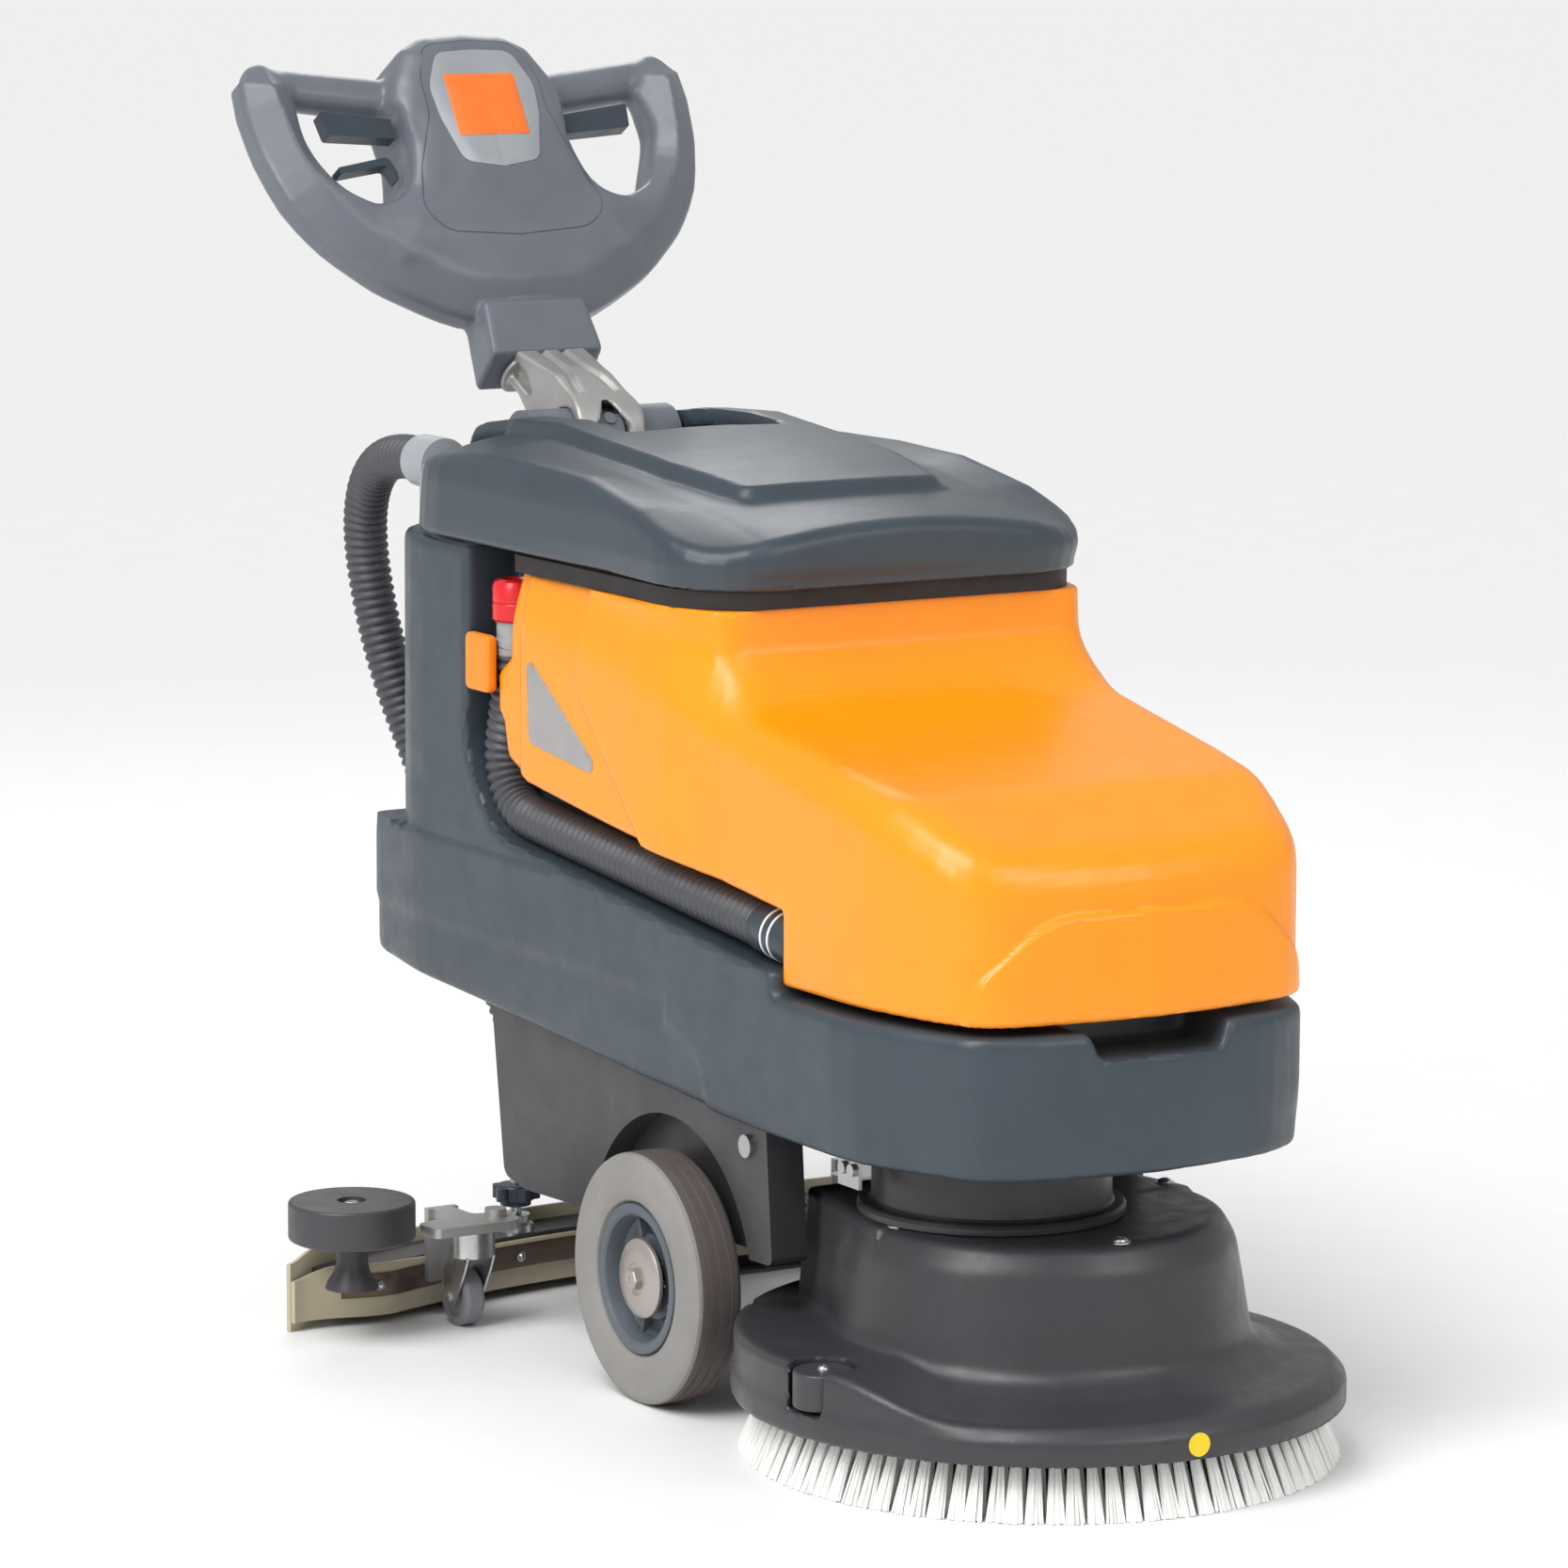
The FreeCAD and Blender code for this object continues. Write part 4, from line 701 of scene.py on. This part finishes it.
def in_millimetres(points):
    return (np.asarray(points) - np.array([AXLE_X, 0, 0])) * 1000


def build_hoses():
    line = spline_through(SUCTION_ROUTE)
    points, _ = even_points(in_millimetres(line), SUCTION_PITCH / 8)
    hose = tube_piece("suction_hose_ribbed", points, ribbed(19.0, SUCTION_PITCH, 2.6),
                      MATERIALS["hose_ribbed"], None, replaces=["suction_hose"])
    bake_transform(hose)
    drain, _ = even_points(in_millimetres(spline_through(DRAIN_ROUTE)), DRAIN_PITCH / 8)
    tube_piece("drain_hose_ribbed", drain, ribbed(18.5, DRAIN_PITCH, 2.8), MATERIALS["hose_ribbed"],
               "machine", replaces=["drain_hose"])
    cuff = drain[-1] - drain[-2]
    cuff /= np.linalg.norm(cuff)
    turned("drain_cuff", [(15, -20), (19, -20), (19.9, -18.6), (19.9, 34), (19, 36), (15, 36), (15, -20)],
           drain[-1], cuff, MATERIALS["black_plastic"], "machine", ["drain_fittings"])
    for number, along in enumerate((3.5, 14)):
        ring = [(19, along - 1.4), (20.5, along - 1.0), (20.5, along + 1.0), (19, along + 1.4)]
        turned(f"drain_cuff_ring_{number}", ring + ring[:1], drain[-1], cuff, MATERIALS["ring_white"],
               "machine")
    neck = [(13, 560), (17.6, 560), (18.2, 561), (18.2, 573), (17, 574), (17, 586), (18.6, 587.6), (13, 588),
            (13, 560)]
    turned("drain_neck_sleeve", neck, (-268, -162, 0), (0, 0, 1), MATERIALS["light_grey"], "machine")


def turned(name, profile, place, axis, material, body, replaces=(), sides=64, smooth=35):
    """A turned piece: (radius, height) points revolved about an axis through a place."""
    turn = Vector(axis).to_track_quat("Z", "Y").to_matrix()
    points = []
    for radius, height in profile:
        for index in range(sides):
            angle = 2 * math.pi * index / sides
            local = Vector((radius * math.cos(angle), radius * math.sin(angle), height))
            points.append(Vector(place) + turn @ local)
    faces = ring_faces(len(profile), sides)
    if profile[0] != profile[-1]:
        faces += end_faces(len(profile), sides)
    else:
        points = points[:-sides]
        last = (len(profile) - 2) * sides
        faces = [[index % (last + sides) for index in face] for face in faces]
    return add_piece(name, np.array([tuple(point) for point in points]), faces, material, body, replaces,
                     smooth)


# ------------------------------------------------------------ brush deck

BRUSH_X = 270.0
HOOD_OUTER = [(-10, 188), (137, 188, 13), (149, 168, 30), (162, 93, 20), (186, 79, 36), (224, 73, 14),
              (235, 62, 8), (235, 44, 1), (-10, 44)]
HOOD_INNER = [(-10, 182), (122, 182, 16), (140, 164, 20), (153, 92, 16), (180, 74, 20), (222, 67, 8),
              (230, 58, 6), (230, 30), (-10, 30)]


def deck_field(x, y, z):
    x = x - BRUSH_X
    reach = np.hypot(x, y)
    angle = np.degrees(np.arctan2(y, x))
    hood = in_outline(reach, z, HOOD_OUTER)
    rear = in_outline(x, y, [(-160, -122, 10), (0, -152), (0, 152), (-160, 122, 10)])
    rear = both(both(rear + 6 * ease(z, 100, 188), z - 188, 7), 96 - z)
    shape = either(hood, rear, 6)
    crest = 98 - 32 * ease(angle, -76, -40)
    wing = both(both(reach - 235 + 10 * ease(angle, -60, -40), z - crest, 8), both(140 - reach, 50 - z))
    wing = both(wing, np.where(y < 20, -400.0, 20.0) + 0 * z)
    shape = either(shape, wing, 9)
    roller = both(np.hypot(x - 33, y + 214) - 25.5, 63 - z)
    shape = less(shape, roller, 2)
    notch = both(x + 164, 150 - abs(y), 6)
    shape = less(shape, notch, 3)
    under = in_outline(reach, z, HOOD_INNER)
    return less(shape, both(under, notch * -1 + 4), 2)


def build_deck():
    sculpt("deck_hood_shell", deck_field, (32, -238, 42), (508, 238, 191), 3.6, MATERIALS["deck_grey"],
           "deck", ["deck_hood"])
    for index, angle in enumerate((-90, -6, 99, 186)):
        turn = math.radians(angle)
        above = (BRUSH_X + 129 * math.cos(turn), 129 * math.sin(turn), 215)
        place = reach(deck_field, [above], (0, 0, -1))[0] - (0, 0, 0.8)
        washer_screw(f"deck_screw_{index}", place, (0, 0, 1), 8.0, "deck",
                     ["deck_screws"] if index == 0 else ())


def roller_screw():
    """Screw in the top of the deck's side roller."""
    high = max(corner[2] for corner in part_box("deck_roller")) * 1000
    washer_screw("deck_roller_screw", (BRUSH_X + 33, -214, high - 1.2), (0, 0, 1), 6.0, "deck_roller")


def washer_screw(name, place, axis, radius, body, replaces=()):
    """Domed socket screw on a washer."""
    profile = [(radius, 0), (radius, 1.0), (radius - 0.6, 1.4), (radius * 0.74, 1.4), (radius * 0.7, 2.6),
               (radius * 0.5, 3.9), (radius * 0.34, 4.3), (radius * 0.3, 4.1), (radius * 0.28, 2.2),
               (0.1, 2.0)]
    turned(name, profile, place, axis, MATERIALS["zinc"], body, replaces, 32, 40)


def build_motor():
    can = [(60, 181), (102, 181), (103, 182), (103, 186.5), (101, 189), (94, 190), (92.4, 192), (92, 200),
           (92, 231), (90, 233), (60, 233), (60, 181)]
    turned("motor_can", can, (254, -35, 7.2), (0, 0, 1), MATERIALS["painted_dark"], "deck",
           ["motor_housing"], 128)


def build_bristles():
    """Rows of tufts, each a splayed bundle of filaments that narrows to its hole in the plate."""
    rows = [(96, 206, 228.2, 34, 6.9), (88, 188, 206, 12, 6.4), (76, 166, 180, 7, 6.0)]
    points, faces = [], []
    for tufts, top_reach, foot_reach, strands, foot_half in rows:
        for tuft in range(tufts):
            turn = 2 * math.pi * tuft / tufts + random.uniform(-0.004, 0.004)
            out = np.array([math.cos(turn), math.sin(turn), 0])
            side = np.array([-math.sin(turn), math.cos(turn), 0])
            root = out * top_reach
            foot = out * foot_reach
            for strand in range(strands):
                spin = random.uniform(0, 2 * math.pi)
                away = math.sqrt((strand + 0.5) / strands)
                across, deep = away * math.cos(spin), away * math.sin(spin)
                start = root + side * across * 2.7 + out * deep * 2.4 + (0, 0, 50)
                lift = random.uniform(0, 1.2)
                end = foot + side * across * foot_half + out * deep * 2.4 + (0, 0, lift)
                bend = (start + end) / 2 + out * random.uniform(-1.0, 0.6)
                base = len(points)
                for middle, half in ((start, 0.95), (bend, 1.1), (end, 1.0)):
                    for corner in range(4):
                        spread_angle = math.pi / 4 + corner * math.pi / 2 + spin
                        points.append(middle + half * (side * math.cos(spread_angle)
                                                       + out * math.sin(spread_angle)))
                for ring in (0, 4):
                    for corner in range(4):
                        near = (corner + 1) % 4
                        faces.append((base + ring + corner, base + ring + near, base + ring + 4 + near,
                                      base + ring + 4 + corner))
                faces.append((base + 3, base + 2, base + 1, base))
                faces.append((base + 8, base + 9, base + 10, base + 11))
    points = np.array(points) + (BRUSH_X, 0, 0)
    add_piece("bristle_tufts", points, faces, MATERIALS["bristle_white"], "brush", ["bristle_ring"], 0)


# ------------------------------------------------------------ wheels

def repaint(piece, material, chosen):
    """Gives the faces whose millimetre centres are chosen a second material."""
    piece.data.materials.append(material)
    centres = in_millimetres([face.center[:] for face in piece.data.polygons])
    for face, yes in zip(piece.data.polygons, chosen(centres)):
        if yes:
            face.material_index = 1


WHEEL_FACE = 205.5
WHEEL_RADIUS = 100


def build_wheels():
    tread = [(99.6, -38)]
    for middle in (-31, -22, -13):
        tread += [(99.9, middle - 1.0), (98.6, middle - 0.5), (98.6, middle + 0.5), (99.9, middle + 1.0)]
    tyre = [(60.5, -40), (66, -43.4), (90, -43.6), (96, -42)] + tread
    tyre += [(99.6, -6), (98.4, -3.2), (95.5, -1.2), (91, -0.3), (74, 0), (66, -0.6), (62.5, -2.4),
             (60.5, -6), (60.5, -40)]
    rim = [(60.3, -38), (60.3, -5), (59.4, -2.6), (57.2, -1.8), (52.6, -2.4), (50.6, -4), (49.4, -8),
           (47, -17), (42, -22), (35, -23), (33.6, -18), (21.5, -17), (21.5, -38), (60.3, -38)]
    cap = [(20, -16), (20.6, -11), (29.6, -10.4), (31.5, -9), (31.5, -6.4), (29.4, -4.4), (21, -3.2),
           (13, -2.6), (12.4, -3.4), (11, -3.4), (0.1, -3.4)]
    bolt = [(8.8, -3.6), (8.8, 1.6), (7.6, 2.6), (3.4, 2.6), (3, 1.6), (0.1, 1.6)]
    for side, turn in (("right", -1), ("left", 1)):
        place = (0, WHEEL_FACE * turn, WHEEL_RADIUS)
        body = f"wheel_{side}"
        piece = turned(f"tyre_{side}_mesh", tyre, place, (0, turn, 0), MATERIALS["tyre_grey"], body,
                       [f"tyre_{side}"], 96, 28)
        repaint(piece, MATERIALS["tread_grey"],
                lambda centres: np.hypot(centres[:, 0], centres[:, 2] - WHEEL_RADIUS) > 99.0)
        turned(f"rim_{side}_mesh", rim, place, (0, turn, 0), MATERIALS["rim_plastic"], body,
               [f"rim_{side}"], 96, 28)
        turned(f"hub_disc_{side}", cap, place, (0, turn, 0), MATERIALS["hub_silver"], body,
               [f"hub_cap_{side}"], 64, 40)
        turned(f"hub_bolt_{side}", bolt, place, (0, turn, 0), MATERIALS["hub_silver"], body, (),
               6, 20)
        for rib in range(5):
            angle = math.radians(72 * rib + 40)
            web(f"rim_{side}_web_{rib}", angle, turn, body)


def web(name, angle, turn, body):
    """A radial stiffener across the rim's recess."""
    out = np.array([math.cos(angle), 0, math.sin(angle)])
    across = np.array([-math.sin(angle), 0, math.cos(angle)])
    points = []
    for depth, half in ((-23.5, 2.2), (-15, 1.6), (-14.2, 1.0)):
        middle = (0, turn * (WHEEL_FACE + depth), WHEEL_RADIUS)
        for reach_out in (33.0, 47.5):
            for side in (-half, half):
                points.append(out * reach_out + across * side + middle)
    faces = [(0, 1, 3, 2), (8, 10, 11, 9)]
    for ring in (0, 4):
        faces += [(ring, ring + 2, ring + 6, ring + 4), (ring + 1, ring + 5, ring + 7, ring + 3),
                  (ring, ring + 4, ring + 5, ring + 1), (ring + 2, ring + 3, ring + 7, ring + 6)]
    add_piece(name, np.array(points), faces, MATERIALS["rim_plastic"], body, (), 20)


# ------------------------------------------------------------ small fittings

def build_fittings():
    badge = [(-208, 570, 7), (-203, 498, 7), (-79, 483, 7)]
    decal("badge_plate", badge, on_tank_side, 0.9, MATERIALS["silver_badge"], "machine",
          ["tank_badge"])
    turned("drain_cap_mesh", [(19, 588), (20.4, 589.5), (20.4, 602), (19.6, 603), (20.4, 604), (20.4, 616),
                              (18.6, 620.4), (15, 622), (13, 622), (12.4, 620), (0.1, 620)],
           (-268, -162, 0), (0, 0, 1), MATERIALS["red_plastic"], "drain_cap", ["drain_cap"],
           48, 30)


# ------------------------------------------------------------ handle bracket

BRACKET_SIDE = [(-560, 806), (-512, 784, 10), (-448, 766, 26), (-399, 741, 30), (-388, 684, 5),
                (-402, 684, 5), (-430, 712), (-456, 712), (-468, 722, 8), (-490, 728, 20), (-504, 744, 14),
                (-530, 758, 8), (-552, 784, 8)]


def bracket_field(x, y, z):
    up = (x - NECK_X) * -math.sin(LEAN) + (z - NECK_Z) * math.cos(LEAN)
    out = (x - NECK_X) * math.cos(LEAN) + (z - NECK_Z) * math.sin(LEAN)
    side = in_outline(x, z, BRACKET_SIDE)
    half = 33 - 5 * ease(x, -505, -450) + 4 * ease(x, -430, -395)
    shape = both(both(side, abs(y) - half, 4), 1 - neck_foot(up, out))
    fork = in_outline(y, z, [(0, 752, 6), (-15, 726, 8), (-17, 660), (17, 660), (15, 726, 8)])
    shape = less(shape, both(fork, -440 - x), 3)
    top = np.interp(x, [-560, -512, -448, -399], [806, 784, 766, 741])
    groove = np.hypot(abs(y) - 10 - 7 * ease(x, -470, -425), z - top + 0.8) - 3.4
    shape = less(shape, both(groove, both(x + 424, -512 - x), 3), 2)
    recess = in_outline(x, z, [(-528, 784, 4), (-492, 764, 6), (-480, 742, 8), (-500, 752, 8),
                               (-530, 768, 4)])
    shape = less(shape, both(recess, 24 - abs(y)), 3)
    rim = both(abs(y) - 38 + 0.02 * (out + 4) ** 2, abs(out + 4) - 17, 6)
    flange = both(both(neck_foot(up, out) - 6, 1 - neck_foot(up, out)), rim, 2)
    shape = either(shape, flange, 3)
    axis = np.hypot(x - BARREL_X, z - BARREL_Z)
    return less(less(shape, axis - 28.8), both(abs(y) - 13.5, axis - 35.5))


def build_bracket():
    sculpt("hinge_bracket_cast", bracket_field, (-556, -40, 682), (-386, 40, 820), 2.2,
           MATERIALS["cast_metal"], "handle", ["hinge_bracket"])


# ------------------------------------------------------------ squeegee

ARC_X = 312.0
BLADE_ANGLE = 27.0


def arc_strip(name, section, half_angle, material, replaces, shape=None, steps=96):
    """A strip on the squeegee's arc: section points are (radius, height), shape may bend the ends."""
    points = []
    for step in range(steps + 1):
        angle = math.radians(-half_angle + 2 * half_angle * step / steps)
        for radius, height in section:
            if shape is not None:
                radius, height = shape(radius, height, math.degrees(angle))
            points.append((ARC_X - radius * math.cos(angle), radius * math.sin(angle), height))
    faces = ring_faces(steps + 1, len(section)) + end_faces(steps + 1, len(section))
    return add_piece(name, np.array(points), faces, MATERIALS[material], "squeegee", replaces, 35)


def closing(radius, height, angle):
    """The front blade closes on the rear one at the squeegee's ends."""
    end = float(ease(abs(angle), 20.5, BLADE_ANGLE))
    if radius < 715:
        radius += 42.5 * end
    return radius, height


def blade_ends(radius, height, angle):
    radius, height = closing(radius, height, angle)
    if height > 20:
        height += 5 - 9 * float(ease(abs(angle), 24, BLADE_ANGLE)) - 5 * float(ease(-abs(angle), -22, -14))
    return radius, height


def build_squeegee():
    arc_strip("blade_rear_sheet", [(735.2, 0), (738.6, 0.4), (739, 1), (739, 60), (738.4, 61), (735.6, 61),
                                   (735, 60), (735, 1)], BLADE_ANGLE, "blade_rubber", ["blade_rear"],
              blade_ends)
    arc_strip("blade_front_sheet", [(688.4, 8), (691.6, 8), (692, 9), (692, 46), (691.4, 47), (688.8, 47),
                                    (688.2, 46), (688.2, 9)], BLADE_ANGLE, "blade_rubber", ["blade_front"],
              blade_ends)
    arc_strip("blade_strap_steel", [(685.4, 24.6), (687.8, 24), (688, 25), (688, 43), (687.6, 44), (686, 44),
                                    (685.4, 43), (685.2, 25.2)], BLADE_ANGLE - 3, "strap_steel",
              ["blade_strap"], closing)
    arc_strip("squeegee_channel", [(692.6, 30.6), (693.4, 30), (733.4, 30), (734.2, 30.6), (734.2, 49),
                                   (733.2, 50), (694, 50), (692.6, 48.6)], BLADE_ANGLE - 2.2,
              "painted_dark", ["squeegee_body"], closing)
    for side in (-1, 1):
        hand = "right" if side < 0 else "left"
        post = [(22, 44), (20, 50), (14.5, 58), (13, 66), (13, 81), (12, 82), (5, 82), (5, 113), (0.1, 113)]
        turned(f"bumper_post_{hand}", post, (-296, side * 301, 0), (0, 0, 1), MATERIALS["roller_grey"],
               "squeegee", (), 48)
        washer_screw(f"bumper_bolt_{hand}", (-296, side * 301, 111.6), (0, 0, 1), 10.5, "squeegee")
        reach_x = ARC_X - math.sqrt(712 ** 2 - 96 ** 2)
        stud = [(16, 48), (15, 56), (12, 58), (12, 64), (5, 64), (5, 93), (4, 94), (0.1, 94)]
        turned(f"clamp_stud_{hand}", stud, (reach_x, side * 96, 0), (0, 0, 1), MATERIALS["zinc"],
               "squeegee", (), 32)
        for number, degrees in enumerate((9, 16, 22)):
            angle = math.radians(side * degrees)
            radius = closing(684.6, 34, side * degrees)[0]
            place = (ARC_X - radius * math.cos(angle), radius * math.sin(angle), 34)
            out = (math.cos(angle), -math.sin(angle), 0)
            washer_screw(f"strap_nut_{number}_{hand}", place, out, 4.4, "squeegee")


def build_clip():
    """Orange clip that holds the drain hose against the rear column."""
    def clip_field(x, y, z):
        face = in_outline(x, z, [(-304, 530, 6), (-264, 530, 6), (-264, 577, 6), (-304, 577, 6)])
        shape = both(both(face, abs(y + 187) - 4.6, 3), x + 262)
        hook = both(both(face + 5, abs(y + 178) - 8, 2), x + 293)
        return either(shape, hook, 2)
    sculpt("hose_clip_moulded", clip_field, (-308, -194, 526), (-258, -168, 582), 1.6,
           MATERIALS["clip_orange"], "machine", ["hose_clip"])


# ------------------------------------------------------------ stage

def build_stage():
    mesh = bpy.data.meshes.new("floor")
    size = 70.0
    mesh.from_pydata([(-size, -size, 0), (size, -size, 0), (size, size, 0), (-size, size, 0)], [],
                     [(0, 1, 2, 3)])
    floor = bpy.data.objects.new("floor", mesh)
    bpy.context.scene.collection.objects.link(floor)
    floor.data.materials.append(finish_material("floor_white", "f4f4f4", rough=0.6, rough_spread=0.05,
                                                grain=60, bump=0.02, mottle=0.01))
    world = bpy.data.worlds.new("studio")
    bpy.context.scene.world = world
    world.use_nodes = True
    world.node_tree.nodes["Background"].inputs["Color"].default_value = (1, 1, 1, 1)
    world.node_tree.nodes["Background"].inputs["Strength"].default_value = 0.5
    bpy.context.scene.view_settings.view_transform = "Standard"
    target = spot(60, 0, 380)
    suns = [("sun_key", (18, 58), 34, 1.7), ("sun_front", (95, 40), 30, 0.3)]
    for name, bearing, spread, power in suns:
        data = bpy.data.lights.new(name, "SUN")
        data.angle = math.radians(spread)
        data.energy = power
        place_lamp(name, data, target, bearing, 4.0)
    discs = [("disc_left", (14, 30), 3.0, 1.2, 26), ("disc_right", (112, 30), 3.2, 1.3, 12),
             ("disc_back", (-110, 35), 3.2, 1.4, 14)]
    for name, bearing, distance, width, power in discs:
        data = bpy.data.lights.new(name, "AREA")
        data.shape = "DISK"
        data.size = width
        data.energy = power
        place_lamp(name, data, target, bearing, distance)


def place_lamp(name, data, target, bearing, distance):
    """A lamp aimed at the target from a bearing (turn and height, in degrees)."""
    lamp = bpy.data.objects.new(name, data)
    turn, rise = (math.radians(angle) for angle in bearing)
    away = Vector((math.sin(turn) * math.cos(rise), -math.cos(turn) * math.cos(rise), math.sin(rise)))
    lamp.location = target + away * distance
    lamp.rotation_euler = away.to_track_quat("Z", "Y").to_euler()
    bpy.context.scene.collection.objects.link(lamp)


def build_camera():
    data = bpy.data.cameras.new("camera")
    data.lens = 152.2
    data.sensor_width = 36
    data.clip_end = 200
    camera = bpy.data.objects.new("camera", data)
    camera.location = spot(4419.5, -2714.3, 1293.6)
    away = camera.location - spot(100, -129.4, 501.6)
    roll = Matrix.Rotation(math.radians(0.3), 3, "Z")
    camera.rotation_euler = (away.to_track_quat("Z", "Y").to_matrix() @ roll).to_euler()
    bpy.context.scene.collection.objects.link(camera)
    bpy.context.scene.camera = camera


dress_nodes()
build_tank()
build_lid()
build_shell()
build_handle()
build_hoses()
build_deck()
build_bristles()
build_wheels()
build_fittings()
build_bracket()
build_squeegee()
build_clip()
roller_screw()
build_motor()
build_stage()
build_camera()
